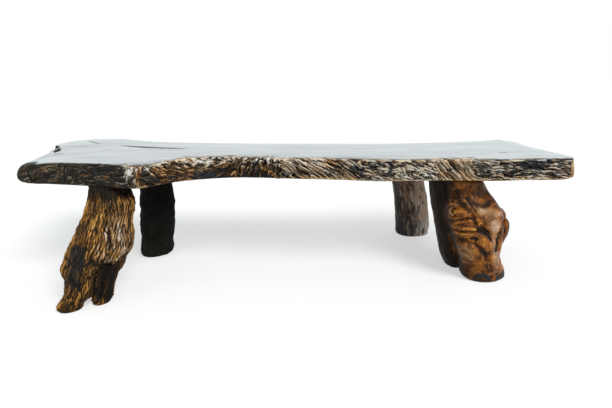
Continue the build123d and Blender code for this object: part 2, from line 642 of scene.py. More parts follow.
@dataclass(frozen=True)
class LacqueredTop:
    """The seat: dark wood under clear lacquer, which mirrors the sky at a low angle."""

    edge: WoodFinish
    heart: Colour = (0.018, 0.015, 0.013)
    sap: Colour = (0.120, 0.088, 0.062)
    rough: float = 0.06
    dull: float = 0.16
    thin_coat: float = 0.64
    streak: Size = (0.20, 0.012, 0.01)
    streak_depth: float = 0.25 * MM
    cloud: Size = (0.30, 0.09, 0.09)

    def build(self) -> bpy.types.Material:
        """Makes the slab's material.

        Returns:
            Lacquer where top is painted, and bare wood elsewhere.
        """
        nodes = Nodes.material(Slot.SLAB.value)
        streaks = nodes.speckle(self.streak, 5, 0.5)
        clouds = nodes.speckle(self.cloud, 4, 0.4)
        wood = nodes.blend(nodes.stepped(streaks * 0.7 + clouds * 0.3, 0.35, 0.65), self.heart, self.sap)
        veil = nodes.stepped(streaks * 0.45 + clouds * 0.55, 0.30, 0.62)
        top = nodes.surface(
            Base_Color=wood, Roughness=self.rough + self.dull * (1 - veil),
            Coat_Weight=self.thin_coat + (1 - self.thin_coat) * veil,
            Coat_Roughness=0.05, Coat_IOR=1.5, IOR=1.6, Specular_IOR_Level=0.8,
            Normal=nodes.bumps(streaks, self.streak_depth))
        whole = nodes.stepped(nodes.painted("top") - nodes.painted("deep"), 0.2, 0.8)
        return nodes.output(nodes.either(whole, self.edge.bare(nodes), top))


@dataclass(frozen=True)
class SplitWood:
    """Plain raw wood of the hidden wedges."""

    name: str = Slot.WEDGE.value
    light: Colour = (0.52, 0.38, 0.24)
    dark: Colour = (0.40, 0.27, 0.16)
    grain: Size = (0.002, 0.002, 0.03)

    def build(self) -> bpy.types.Material:
        """Makes the material.

        Returns:
            Plain raw wood.
        """
        nodes = Nodes.material(self.name)
        wood = nodes.blend(nodes.speckle(self.grain, 4), self.dark, self.light)
        return nodes.output(nodes.surface(Base_Color=wood, Roughness=0.7))


# ---------------------------------------------------------------- shapes drawn on a surface
@dataclass(frozen=True)
class Board:
    """An upright drawing board in front of the bench, whose lines are cast back onto the surfaces."""

    eye: Size = CAMERA_PLACE
    front: float = -0.255

    def cast(self, points: np.ndarray) -> np.ndarray:
        """Finds where points show on the board.

        Args:
            points: places in metres.

        Returns:
            X and Z on the board, in metres.
        """
        eye = np.array(self.eye)
        share = (self.front - eye[1]) / (points[:, 1] - eye[1])
        return eye[[0, 2]] + (points[:, [0, 2]] - eye[[0, 2]]) * share[:, None]


BOARD = Board()


def nearest(line: Line, flat: np.ndarray) -> tuple[np.ndarray, np.ndarray]:
    """Signed distance to a line and the place along it.

    Args:
        line: the line's points in millimetres.
        flat: two coordinates a point, in metres.

    Returns:
        Distance in metres, positive to the left of the line, and the share of its length run through.
    """
    spots = np.array(line) * MM
    lengths = np.hypot(*np.diff(spots, axis=0).T)
    reached = np.concatenate([[0.0], np.cumsum(lengths)])
    best, share = np.full(len(flat), FAR), np.zeros(len(flat))
    for index, length in enumerate(lengths):
        step = (spots[index + 1] - spots[index]) / length
        offset = flat - spots[index]
        along = np.clip(offset @ step, 0, length)
        away = np.linalg.norm(offset - along[:, None] * step, axis=1)
        side = np.where(step[0] * offset[:, 1] - step[1] * offset[:, 0] < 0, -1.0, 1.0)
        closer = away < np.abs(best)
        best = np.where(closer, side * away, best)
        share = np.where(closer, (reached[index] + along) / reached[-1], share)
    return best, share


def ends(share: np.ndarray) -> np.ndarray:
    """Fades a line out towards its two ends."""
    return np.sin(np.pi * np.clip(share, 0.03, 0.97)) ** 0.5


@dataclass(frozen=True)
class Lip:
    """A fold that stands out on the left of its line and hangs over a hollow on the right."""

    line: Line
    rise: float
    reach: float
    drop: float
    drop_reach: float
    dark: float = 0.6
    light: float = 0.2

    def shape(self, flat: np.ndarray) -> tuple[np.ndarray, np.ndarray, np.ndarray]:
        """Shapes the fold.

        Args:
            flat: two coordinates a point, in metres.

        Returns:
            Relief in millimetres, shade and light at each point.
        """
        away, share = nearest(self.line, flat)
        fade = ends(share)
        over = np.exp(-np.clip(away, 0, None) / (self.reach * MM))
        under = np.exp(-np.clip(-away, 0, None) / (self.drop_reach * MM))
        outside = smoothstep(-0.0018, 0.0018, away)
        relief = fade * (outside * over * self.rise - (1 - outside) * under * self.drop)
        shade = fade * (1 - smoothstep(-0.001, 0.0025, away)) * under * self.dark
        light = fade * outside * over * self.light
        return relief, shade, light


@dataclass(frozen=True)
class Stroke:
    """A ridge or a groove drawn along a line on a piece's face, seen from the front or from above."""

    line: Line
    width: float
    height: float
    deep: float = 0.0

    def nearness(self, flat: np.ndarray) -> np.ndarray:
        """Profile across the stroke: 1 on its line and 0 from its width on.

        Args:
            flat: two coordinates a point, in metres.

        Returns:
            The profile at each point.
        """
        away, share = nearest(self.line, flat)
        slim = ends(share)
        profile = np.clip(1 - np.abs(away) / (self.width * MM * slim), 0, 1)
        return profile * profile * (3 - 2 * profile) * slim


@dataclass(frozen=True)
class Touch:
    """A soft line or patch that lifts the surface and shifts its tones."""

    line: Line
    width: float
    height: float = 0.0
    pale: float = 0.0
    warm: float = 0.0
    stain: float = 0.0
    deep: float = 0.0

    def nearness(self, flat: np.ndarray) -> np.ndarray:
        """1 along the line, easing to 0 at the touch's width."""
        away, _ = nearest(self.line, flat)
        return np.clip(1 - (away / (self.width * MM)) ** 2, 0, 1) ** 2


@dataclass(frozen=True)
class Pull:
    """Draws out the surface round a place, all in millimetres."""

    middle: tuple[float, float]
    reach: tuple[float, float]
    way: Size

    def nearness(self, flat: np.ndarray) -> np.ndarray:
        """1 at the middle, falling away round it."""
        away = (flat - np.array(self.middle) * MM) / (np.array(self.reach) * MM)
        return np.exp(-(away ** 2).sum(axis=1))


def drawn(strokes: Sequence[Stroke], flat: np.ndarray, facing: np.ndarray,
          full: Optional[float] = None) -> tuple[np.ndarray, np.ndarray]:
    """Several strokes together.

    Args:
        strokes: what is drawn.
        flat: two coordinates a point, in metres.
        facing: how far each point faces the one who draws, from 0 to 1.
        full: nearness from which the shade is full, if it doesn't follow the stroke's profile.

    Returns:
        Relief in millimetres, and shade.
    """
    relief, shade = np.zeros((2, len(flat)))
    for stroke in strokes:
        near = stroke.nearness(flat) * facing
        relief += stroke.height * near
        dark = near if full is None else smoothstep(0.1, full, near)
        shade = np.maximum(shade, stroke.deep * dark)
    return relief, shade


def touched(touches: Sequence[Touch], flat: np.ndarray, facing: np.ndarray) -> Fields:
    """Several touches together.

    Args:
        touches: what is drawn.
        flat: two coordinates a point, in metres.
        facing: how far each point faces the one who draws, from 0 to 1.

    Returns:
        Relief in millimetres and tones, by name.
    """
    fields = {name: np.zeros(len(flat)) for name in ("height", *TONES)}
    for touch in touches:
        near = touch.nearness(flat) * facing
        for name, values in fields.items():
            share = getattr(touch, name) * near
            fields[name] = np.maximum(values, share) if name == "deep" else values + share
    return fields


# ---------------------------------------------------------------- slab
@dataclass(frozen=True)
class EdgeStyle:
    """How the live edge is broken up over a stretch of the slab's front."""

    start: float
    end: float
    slope: float
    length: float
    width: float
    depth: float
    pale: float
    warm: float
    stain: float = 0.1
    lower: float = 0.0
    contrast: float = 1.0
    fray: float = 6.0
    upper: float = 0.0


class Stretch:
    """One stretch of the live edge: places along its fibres, and the plates they split into."""

    shift_step = 0.37
    sway_size = 0.045
    sway_reach = 4.5 * MM
    thread_size = (0.05, 0.005, 0.02)
    open_size = 0.03
    grit_size = (0.012, 0.007)
    fine_share = (0.5, 0.42)
    low_band = (-0.016, 0.016)
    high_band = (0.010, 0.030)
    thread_height = 1.4 * MM
    thread_tone = 0.24
    plate_tone = 0.34
    fine_tone_share = 0.30
    fine_height = 0.40
    open_mean = 0.34
    open_swing = 0.26
    open_least = 0.06
    fine_gap_width = 0.22
    fine_gap_depth = 0.45
    grit_lean = 0.6
    grit_gap_width = 0.30
    level_sway = 6 * MM
    warm_spot = 0.035
    stain_spot = 0.040
    jag_size = (0.010, 0.03)

    def __init__(self, style: EdgeStyle, points: np.ndarray, along: np.ndarray, lift: np.ndarray,
                 noise: Noise) -> None:
        """Lays coordinates on the stretch.

        Args:
            style: how the stretch is broken up.
            points: its points.
            along: distance of each along the edge.
            lift: how far each lies in from the arris, on the top.
            noise: the noise in use.
        """
        self.style, self.noise = style, noise
        self.shift = style.start * self.shift_step
        self.run = along - (style.start + style.end) * MM / 2
        rise = points[:, 2] - (UNDERSIDE + SEAT) / 2
        self.rise = rise + lift * (rise > 0)
        self.place = np.stack([self.run, self.rise, points[:, 1] * 0.3], axis=1)
        self.sway = noise.layered(self.place / self.sway_size + self.shift, 2)
        slope = math.radians(style.slope)
        self.fibre_run = self.run * math.cos(slope) + self.rise * math.sin(slope)
        self.fibre_side = self.rise * math.cos(slope) - self.run * math.sin(slope)
        self.fibre_side += self.sway_reach * self.sway
        self.gap, self.tone, self.offset = self.plates(1.0, 1.0)
        self.fine_gap, self.fine_tone, self.fine_offset = self.plates(*self.fine_share)
        fibres = np.stack([self.fibre_run, self.fibre_side, points[:, 1]], axis=1) / self.thread_size
        self.threads = noise.ridges(fibres + np.array([0, 0, self.shift]), 2) - MEAN_RIDGE
        self.grit_gap, self.grit, _ = noise.flakes(
            self.run / self.grit_size[0] + self.shift,
            (self.rise + self.grit_lean * self.run) / self.grit_size[1], pointed=True)
        opened = self.open_mean + self.open_swing * noise.soft(self.place / self.open_size - self.shift)
        self.groove = 1 - smoothstep(0.0, 1.0, self.gap / np.maximum(opened, self.open_least))
        self.fine_groove = 1 - smoothstep(0.0, self.fine_gap_width, self.fine_gap)
        level = self.rise + self.level_sway * self.sway
        self.low = 1 - smoothstep(*self.low_band, level)
        self.high = smoothstep(*self.high_band, level)

    def plates(self, length: float, width: float) -> tuple[np.ndarray, np.ndarray, np.ndarray]:
        """Splits the stretch into pointed plates along its fibres.

        Args:
            length: their length, as a share of the style's.
            width: their width, as a share of the style's.

        Returns:
            Gap to the next plate, tone and place across.
        """
        return self.noise.flakes(
            self.fibre_run / (self.style.length * MM * length) + self.shift,
            self.fibre_side / (self.style.width * MM * width), pointed=True)

    def blots(self, squeeze: float, size: float, shift: float, layers: int) -> np.ndarray:
        """Patches on the face, wider than they are high."""
        spots = np.stack([self.run, self.rise * squeeze, np.zeros(len(self.run))], axis=1)
        return self.noise.layered(spots / size + shift, layers)

    def relief(self) -> np.ndarray:
        """Adds up the plates and threads.

        Returns:
            Their height in metres.
        """
        plates = 1.2 * (self.tone - MEAN_TONE) + 0.7 * np.clip(self.offset, -0.6, 0.6) - 0.75 * self.groove
        fine = self.fine_tone - MEAN_TONE + 0.5 * np.clip(self.fine_offset, -0.5, 0.5)
        fine -= 0.6 * self.fine_groove
        depth = self.style.depth * MM
        return depth * (plates + self.fine_height * fine) + self.thread_height * self.threads

    def pale(self) -> np.ndarray:
        """Adds up the lightness of plates, bands and threads.

        Returns:
            The lightness, 0 dark to 1 light.
        """
        style = self.style
        plates = self.plate_tone * (self.tone - MEAN_TONE)
        plates += self.fine_tone_share * (self.fine_tone - MEAN_TONE)
        bands = style.lower * self.low + style.upper * self.high * (4.2 * self.grit - 1.1)
        return style.pale + style.contrast * plates + bands + self.thread_tone * self.threads

    def warm(self) -> np.ndarray:
        """Warmth, 0 grey to 1 orange."""
        patches = 0.45 * (self.fine_tone - MEAN_TONE) + 0.40 * self.blots(1.6, self.warm_spot, self.shift, 2)
        return self.style.warm + patches - 0.9 * self.style.upper * self.high

    def stain(self) -> np.ndarray:
        """Blue-black stain."""
        return np.clip(self.style.stain + 0.46 * self.blots(1.7, self.stain_spot, -self.shift, 3), 0, 1)

    def deep(self) -> np.ndarray:
        """Measures the gaps, which are painted as shade.

        Returns:
            How deep each point lies in a gap, 0 to 1.
        """
        edges = 1 - smoothstep(0.0, self.grit_gap_width, self.grit_gap)
        chips = np.clip(2.4 * self.style.upper, 0, 1) * edges
        gaps = np.clip(self.groove + self.fine_gap_depth * self.fine_groove, 0, 1)
        return np.maximum(gaps, self.high * chips)

    def fray(self) -> np.ndarray:
        """Frays the arris.

        Returns:
            How far the broken edge reaches in over the top, in metres.
        """
        across, along = self.fibre_side / self.jag_size[0], self.run / self.jag_size[1]
        jag = 0.55 + 1.1 * self.noise.layered(np.stack([across, along, 0 * along + self.shift], axis=1), 2)
        jag += 2.0 * self.style.upper * (self.grit - MEAN_TONE)
        return FILLET + self.style.fray * MM * (0.15 + np.clip(jag, 0, 1.6))


@dataclass
class Slab:
    """The seat slab: lacquered top, broken live edge and plain underside."""

    grid: float = 2.3 * MM
    triangles: int = 196000
    seed: int = 11
    front: float = -0.25
    corner: float = 0.938
    chip: float = 5.0 * MM
    saw: Size = (0.1, 0.02, 0.02)
    saw_depth: float = 0.4 * MM
    wave: Size = (0.35, 0.12, 1.0)
    wave_depth: float = 0.5 * MM
    bite_size: float = 0.022
    step: float = 6 * MM
    side_band: Band = (0.30, 0.80)
    top_band: Band = (0.70, 0.94)
    under_band: Band = (0.3, 0.8)
    turn_band: Band = (0.80, 0.93)
    arris_band: Band = (SEAT - 0.022, SEAT - 0.004)
    sole_band: Band = (UNDERSIDE + 0.016, UNDERSIDE + 0.002)
    glow_band: Band = (UNDERSIDE + 0.016, UNDERSIDE + 0.006)
    fray_share: float = 0.35
    fray_depth: float = 1.2 * MM
    fray_soft: float = 1.5 * MM
    hollow_band: Band = (0.2 * MM, 1.8 * MM)
    crest_band: Band = (0, 1.6 * MM)
    nose_band: Band = (0.004, -0.012)
    bulge: Pull = Pull((-860, -90), (50, 90), (-9, 2, 0))
    hole: Pull = Pull((-940, 120), (60, 60), (-12, -26, 0))
    knot: Pull = Pull((-950, 110), (40, 40), (0, 0, 0))
    styles: tuple[EdgeStyle, ...] = (
        EdgeStyle(-1100, -835, 40, 26, 7, 1.8, 0.145, 0.16, 0.22, 0.00, 1.0, 4),
        EdgeStyle(-835, -765, 12, 26, 7, 1.8, 0.13, 0.08, 0.28, -0.04, 1.1, 6),
        EdgeStyle(-765, -722, 72, 30, 8, 1.8, 0.09, 0.00, 0.24, 0.00, 0.9, 5),
        EdgeStyle(-722, -557, 4, 30, 7, 1.9, 0.095, 0.08, 0.28, 0.02, 1.1, 8),
        EdgeStyle(-557, -528, 80, 34, 11, 4.0, 0.72, 0.12, 0.18, -0.34, 1.5, 22, 0.10),
        EdgeStyle(-528, -507, 86, 40, 9, 4.0, 0.44, 1.15, 0.10, 0.12, 1.3, 16, 0.15),
        EdgeStyle(-507, -460, -30, 30, 9, 6.0, 0.26, 0.60, 0.42, -0.12, 2.0, 26, 0.44),
        EdgeStyle(-460, -340, -14, 26, 6, 5.0, 0.22, 0.98, 0.22, -0.04, 1.6, 30, 0.44),
        EdgeStyle(-340, -288, 20, 32, 9, 5.0, 0.22, 0.50, 0.46, -0.26, 2.0, 26, 0.44),
        EdgeStyle(-288, -205, 34, 30, 8, 6.0, 0.19, 0.62, 0.32, -0.18, 2.0, 26, 0.42),
        EdgeStyle(-205, -120, 60, 28, 8, 6.0, 0.14, 0.66, 0.34, -0.10, 1.9, 12, 0.32),
        EdgeStyle(-120, -68, 76, 32, 7, 6.5, 0.25, 0.50, 0.26, -0.30, 2.1, 22, 0.42),
        EdgeStyle(-68, 22, -34, 64, 8, 6.5, 0.55, 0.48, 0.22, -0.16, 2.0, 12, 0.16),
        EdgeStyle(22, 190, -33, 84, 8, 7.5, 0.68, 0.42, 0.24, -0.06, 2.1, 12),
        EdgeStyle(190, 320, -14, 50, 8, 7.0, 0.62, 0.32, 0.36, -0.06, 2.1, 12),
        EdgeStyle(320, 465, -22, 34, 8, 6.5, 0.70, 0.24, 0.26, 0.00, 1.9, 8),
        EdgeStyle(465, 600, -42, 74, 7, 9.5, 0.60, 0.56, 0.24, 0.00, 2.8, 34),
        EdgeStyle(600, 1100, -4, 52, 7.5, 7.0, 0.48, 0.24, 0.42, 0.00, 2.5, 8),
    )
    touches: tuple[Touch, ...] = (
        Touch(((84, 442), (112, 438)), 13, 0, 0.16, 1.2, -0.6),
        Touch(((52, 450), (85, 441), (128, 424)), 7, -4, -0.3, 0.0, 0.2, 0.9),
        Touch(((768, 436), (800, 422), (836, 426)), 24, 0, -0.14, -0.3, 0.45, 0.1),
        Touch(((-182, 402), (-112, 398)), 22, 0, -0.16, 0.1, 0.15, 0.35),
        Touch(((-338, 404), (-315, 410), (-292, 404)), 22, -1, -0.06, -0.7, 0.5),
        Touch(((-508, 424), (-492, 410)), 18, -1, -0.06, -0.6, 0.5),
        Touch(((-128, 430), (-100, 414), (-76, 392)), 8, 2, 0.26, 0.8, -0.3),
        Touch(((-486, 418), (-452, 422)), 20, 0, 0.10, 0.7, -0.3),
        Touch(((-512, 452), (-470, 450), (-430, 452)), 9, 2, 0.40, -0.3, -0.3),
        Touch(((-390, 452), (-340, 449), (-300, 452)), 8, 2, 0.36, -0.2, -0.3),
        Touch(((-296, 446), (-290, 434)), 8, -3, -0.3, 0.0, 0.1, 0.8),
        Touch(((-366, 447), (-362, 436)), 7, -3, -0.3, 0.0, 0.1, 0.8),
        Touch(((-440, 446), (-436, 432)), 8, -3, -0.3, 0.0, 0.1, 0.8),
        Touch(((300, 440), (306, 420), (298, 405)), 12, -2, -0.3, -0.3, 0.5, 0.5),
        Touch(((868, 455), (905, 455), (960, 457)), 7, 0, -0.3, -0.3, 0.2, 0.9),
        Touch(((800, 432), (835, 418), (862, 428)), 22, 0, -0.10, -0.4, 0.5),
        Touch(((-240, 412), (-215, 404)), 16, 0, 0.10, 0.6, -0.3),
        Touch(((170, 420), (200, 412)), 20, -1, -0.16, -0.2, 0.45, 0.2),
        Touch(((-808, 436), (-802, 424)), 9, 0, 0.22, 0.5, -0.3),
        Touch(((-822, 410), (-800, 402)), 9, 0, 0.18, 0.5, -0.3),
        Touch(((-700, 416), (-676, 413)), 10, 0, 0.18, 0.4, -0.3),
        Touch(((-660, 404), (-630, 400)), 8, 0, 0.18, 0.5, -0.3),
        Touch(((-625, 410), (-612, 402)), 8, 0, 0.16, 0.7, -0.3),
        Touch(((-770, 424), (-756, 418)), 8, 0, 0.16, 0.4, -0.3),
    )
    checks: tuple[Stroke, ...] = (
        Stroke(((-720, 152), (-680, 142), (-633, 122), (-588, 104), (-537, 88), (-446, 62)), 19, -10, 1.0),
        Stroke(((-908, 12), (-923, 62), (-937, 114)), 18, -6, 1.0),
        Stroke(((-905, 292), (-865, 250), (-813, 196)), 6, -3, 0.8),
        Stroke(((-935, 138), (-894, 137), (-836, 129)), 4, -1, 0.45),
        Stroke(((-817, 403), (-775, 390), (-738, 357)), 5, -3, 0.7),
        Stroke(((-755, 41), (-700, 46)), 4, -2, 0.6),
        Stroke(((-900, -28), (-850, -22)), 4, -2, 0.6),
        Stroke(((745, -142), (780, -144)), 5, -2, 1.0),
    )
    front_cracks: tuple[Stroke, ...] = (
        Stroke(((-852, 446), (-860, 428), (-857, 408), (-848, 378)), 6, -8, 1.0),
        Stroke(((-640, 415), (-600, 408), (-560, 412)), 4, -4, 0.8),
        Stroke(((-780, 402), (-730, 396), (-690, 400)), 4, -3, 0.7),
    )

    def borders(self) -> np.ndarray:
        """Measures how far in the points lie, seen from above.

        Returns:
            Each point's distance from the front or back border, whichever is nearer.
        """
        x, y = self.home[:, 0], self.home[:, 1]
        edges = np.arange(x.min(), x.max() + self.step, self.step)
        place = ((x - edges[0]) / self.step).astype(int)
        front, back = np.full(len(edges), FAR), np.full(len(edges), -FAR)
        np.minimum.at(front, place, y)
        np.maximum.at(back, place, y)
        middle = edges + self.step / 2
        return np.minimum(y - np.interp(x, middle, front), np.interp(x, middle, back) - y)

    def bend(self) -> None:
        """Droops the nose at the left end, draws out the border behind it and trues the right end."""
        start = self.clay.points
        x, y, z = start.T
        tip = smoothstep(-0.825, -0.880, x) * smoothstep(-0.16, -0.27, y)
        tail = smoothstep(0.90, 0.955, x) * smoothstep(-0.08, -0.18, y)
        low = smoothstep(SEAT - 0.01, UNDERSIDE + 0.012, z)
        dip = smoothstep(0.955, 0.980, x) * (1 - low)
        shifts = [(tip, (7, 0, -8)), (tail * (low * 11 - 4), (1, 0, 0)), (dip, (0, 0, -5))]
        shifts += [(pull.nearness(start[:, :2]), pull.way) for pull in (self.bulge, self.hole)]
        for share, way in shifts:
            self.clay.points = self.clay.points + share[:, None] * np.array(way) * MM
        self.clay.write()

    def survey(self) -> None:
        """Copies the slab and measures which of its surfaces every point belongs to."""
        self.clay, self.noise = Clay("seat_slab", "slab", self.grid), Noise(self.seed)
        self.bend()
        clay = self.clay
        self.home, upward = clay.points, clay.normals[:, 2]
        self.height = self.home[:, 2]
        self.flat = BOARD.cast(self.home)
        self.facing = smoothstep(0.0, -0.3, clay.normals[:, 1])
        self.side = clay.eased(1 - smoothstep(*self.side_band, np.abs(upward)), 2)
        self.rim = clay.eased(self.side, 10)
        self.calm = 1 - 0.75 * smoothstep(self.corner - 0.03, self.corner, self.home[:, 0])
        self.under = smoothstep(*self.under_band, -upward)
        self.top = smoothstep(*self.top_band, upward) * (self.height > UNDERSIDE + 0.03)
        self.bite = smoothstep(0.0, 0.7, self.noise.layered(self.home / self.bite_size, 2))

    def edge_fields(self) -> Fields:
        """Blends the stretches of the edge into each other.

        Returns:
            Relief in metres, tones, and where the top's border is frayed, by name.
        """
        points, normals, inset = self.home, self.clay.normals, self.borders()
        turn = smoothstep(*self.turn_band, np.abs(points[:, 0]))
        round_ends = points[:, 0] + np.sign(points[:, 0]) * turn * (points[:, 1] - self.front)
        facing = smoothstep(-0.1, -0.5, normals[:, 1])
        along = facing * self.flat[:, 0] + (1 - facing) * round_ends
        fields = {name: np.zeros(len(points)) for name in ("relief", *TONES, "fray")}
        total = np.zeros(len(points))
        outer = (self.side > 0.01) | ((inset < 0.05) & (normals[:, 2] > 0))
        wander = 0.020 * self.noise.layered(points / 0.035, 2) + 0.3 * (self.height - UNDERSIDE - 0.03)
        reach = np.clip(along, -1.05, 1.05) + wander
        for style in self.styles:
            share = window(style.start * MM, style.end * MM, 0.006, reach)
            chosen = np.flatnonzero((share > 0.001) & outer)
            lift = np.clip(inset[chosen] - FILLET, 0, None)
            stretch = Stretch(style, points[chosen], along[chosen], lift, self.noise)
            for name, values in fields.items():
                values[chosen] += share[chosen] * getattr(stretch, name)()
            total += share
        fields = {name: values / np.maximum(total, 0.3) for name, values in fields.items()}
        past = smoothstep(-self.fray_soft, self.fray_soft, inset - fields["fray"] * self.calm)
        fields["fray"] = self.top * (1 - past) * smoothstep(-0.02, -0.06, points[:, 1])
        return fields

    def marks(self) -> Fields:
        """Draws the checks, the cracks, the touches and the knot.

        Returns:
            Relief in millimetres and tones, by name.
        """
        upward = self.clay.normals[:, 2]
        checks, check_shade = drawn(self.checks, self.home[:, :2], upward > 0.05, 0.5)
        cracks, crack_shade = drawn(self.front_cracks, self.flat, self.facing, 0.6)
        fields = touched(self.touches, self.flat, self.facing)
        fields["height"] += checks + cracks
        # painted shade: the knot hole is painted dark, like the checks and cracks in their hollows
        knot = self.knot.nearness(self.home[:, :2]) * np.maximum(self.side, self.rim) * (upward > -0.5)
        for shade in (check_shade, crack_shade, smoothstep(0.3, 0.7, knot)):
            fields["deep"] = np.maximum(fields["deep"], shade)
        return fields

    def carve(self, edge: Fields, marks: Fields) -> None:
        """Pushes the edge, the marks and the slight waves of the flat faces into the slab.

        Args:
            edge: what edge_fields returns.
            marks: what marks returns.
        """
        relief = self.side * self.calm * edge["relief"]
        relief += edge["fray"] * (self.fray_share * edge["relief"] - self.fray_depth)
        relief += self.under * self.saw_depth * self.noise.layered(self.home / self.saw)
        relief += self.top * self.wave_depth * self.noise.layered(self.home / self.wave, 2)
        arris = smoothstep(*self.arris_band, self.height) * self.rim * self.calm
        sole = smoothstep(*self.sole_band, self.height) * self.rim * self.calm
        bitten = 1.5 * arris * self.side + 0.8 * arris * (1 - self.side) + 0.5 * sole * self.side
        relief += marks["height"] * MM - self.chip * self.bite * bitten
        self.clay.push(relief)

    def colour(self, edge: Fields, marks: Fields) -> None:
        """Paints the numbers that the finish reads.

        Args:
            edge: what edge_fields returns.
            marks: what marks returns.
        """
        clay, side, (x, y, _) = self.clay, self.side, self.home.T
        broken = np.maximum(side, edge["fray"])
        # Painted light: crests of the broken edge are painted lighter as highlights, and its hollows darker
        # as shade.
        crest = clay.bulge(6)
        hollow = smoothstep(*self.hollow_band, -crest) * broken
        strip = smoothstep(self.corner - 0.010, self.corner, x) * side
        reach = window(-0.03, 0.19, 0.03, x) + 0.6 * window(0.56, 0.92, 0.05, x)
        glow = reach * smoothstep(*self.glow_band, self.height)
        pale = edge["pale"] + 0.22 * smoothstep(*self.crest_band, crest) * broken + 0.15 * self.under
        turned = x + 0.822 + 0.33 * (y + 0.315)
        nose = smoothstep(*self.nose_band, turned) * smoothstep(-0.10, -0.17, y)
        whole = 1 - smoothstep(0.25, 0.55, self.rim + 0.25 * self.bite)
        # painted shade: the edge's gaps, the checks, the cracks and the knot hole
        deep = np.maximum(broken * edge["deep"], marks["deep"])
        clay.paint("top", clay.eased(self.top * whole * (1 - edge["fray"]) * (1 - nose), 1))
        clay.paint("pale", (pale + marks["pale"]) * (1 - 0.7 * strip) + 0.42 * strip + 0.22 * glow * side)
        clay.paint("warm", edge["warm"] + 0.4 * self.under + 0.8 * strip + 0.8 * glow * side + marks["warm"])
        clay.paint("stain", (edge["stain"] + marks["stain"]) * broken * (1 - strip) * (1 - glow))
        clay.paint("deep", np.maximum(deep * 0.9, hollow) * (1 - 0.7 * strip))

    def build(self) -> bpy.types.Object:
        """Sculpts, paints and dresses the slab.

        Returns:
            The finished piece.
        """
        self.survey()
        edge, marks = self.edge_fields(), self.marks()
        self.carve(edge, marks)
        self.colour(edge, marks)
        self.clay.thin(self.triangles)
        bare = WoodFinish(
            "slab_edge",
            cool=((0.007, 0.007, 0.006), (0.048, 0.043, 0.029), (0.30, 0.265, 0.205), (0.80, 0.76, 0.69)),
            hot=((0.010, 0.006, 0.004), (0.105, 0.046, 0.017), (0.40, 0.205, 0.075), (0.82, 0.56, 0.30)),
            gloss=0.12, grain=(0.03, 0.006, 0.004), fleck=0.008)
        return self.clay.done(Slot.SLAB.value, LacqueredTop(bare).build())


# ---------------------------------------------------------------- limbs
@dataclass
class Limb:
    """A natural limb under the slab: what all four share."""

    node: str
    name: str
    slot: Slot
    finish: WoodFinish
    grid: float = 2.2 * MM
    triangles: int = 150000
    head_fade: float = 12 * MM
    sole_fade: float = 6 * MM
    wobble: float = 2.2 * MM
    wobble_size: float = 0.016
    slices: int = 25
    slice_reach: float = 0.012
    seed: int = 1
    touches: tuple[Touch, ...] = ()

    def build(self) -> bpy.types.Object:
        """Sculpts, paints and dresses the limb.

        Returns:
            The finished piece.
        """
        self.start()
        self.sculpt()
        self.clay.thin(self.triangles)
        return self.clay.done(self.slot.value, self.finish.build())

    def sculpt(self) -> None:
        """Carves and paints the limb, each in its own way."""
        raise NotImplementedError

    def start(self) -> None:
        """Copies the limb and measures how far its sides stand at each height."""
        self.clay = Clay(self.node, self.name, self.grid)
        self.noise = Noise(self.seed)
        self.home = self.clay.points.copy()
        self.height = self.home[:, 2]
        self.flat = BOARD.cast(self.home)
        levels = np.linspace(0, UNDERSIDE, self.slices)
        slices = [self.home[np.abs(self.height - level) < self.slice_reach, :2] for level in levels]
        lows = np.array([near.min(axis=0) for near in slices])
        highs = np.array([near.max(axis=0) for near in slices])
        middles, halves = (lows + highs) / 2, (highs - lows) / 2
        self.straight = np.stack([
            (self.home[:, axis] - np.interp(self.height, levels, middles[:, axis]))
            / np.interp(self.height, levels, halves[:, axis]) for axis in range(2)], axis=1)
        heads = smoothstep(0, self.head_fade, np.abs(UNDERSIDE - self.height))
        soles = smoothstep(0, self.sole_fade, self.height)
        self.free = np.where(self.height > UNDERSIDE, 0, heads) * soles
        self.front = smoothstep(0.25, -0.25, self.clay.normals[:, 1])

    def along_grain(self, side: float, length: float, sway: float = 0.0) -> np.ndarray:
        """Coordinates that run down the limb, and spread and lean as it does.

        Args:
            side: size of the pattern across the limb, as a share of its half width.
            length: its size down the limb, in metres.
            sway: how far the grain wanders, as a share of the half width.

        Returns:
            Three numbers a point.
        """
        drift = sway * self.noise.soft(self.home / 0.045 + 5.5)
        x, y = self.straight[:, 0] + drift, self.straight[:, 1] + 0.6 * drift
        return np.stack([x / side, y / side, self.height / length], axis=1)

    def touch(self) -> Fields:
        """Draws the limb's touches on its front, with uneven borders.

        Returns:
            Relief in millimetres and tones, by name.
        """
        spots = self.home / self.wobble_size
        wobble = np.stack([self.noise.layered(spots + shift, 2) for shift in (0.0, 40.0)], axis=1)
        return touched(self.touches, self.flat + self.wobble * wobble, self.front)

    def move(self, weight: np.ndarray, way: Size) -> None:
        """Shifts points, before anything is drawn on them.

        Args:
            weight: each point's share of the way.
            way: X, Y and Z in millimetres.
        """
        self.clay.points += weight[:, None] * np.array(way) * MM
        self.clay.write()
        self.flat = BOARD.cast(self.clay.points)

    def paint(self, **values: np.ndarray) -> None:
        """Paints the numbers that the finish reads."""
        for name in TONES:
            self.clay.paint(name, values[name])


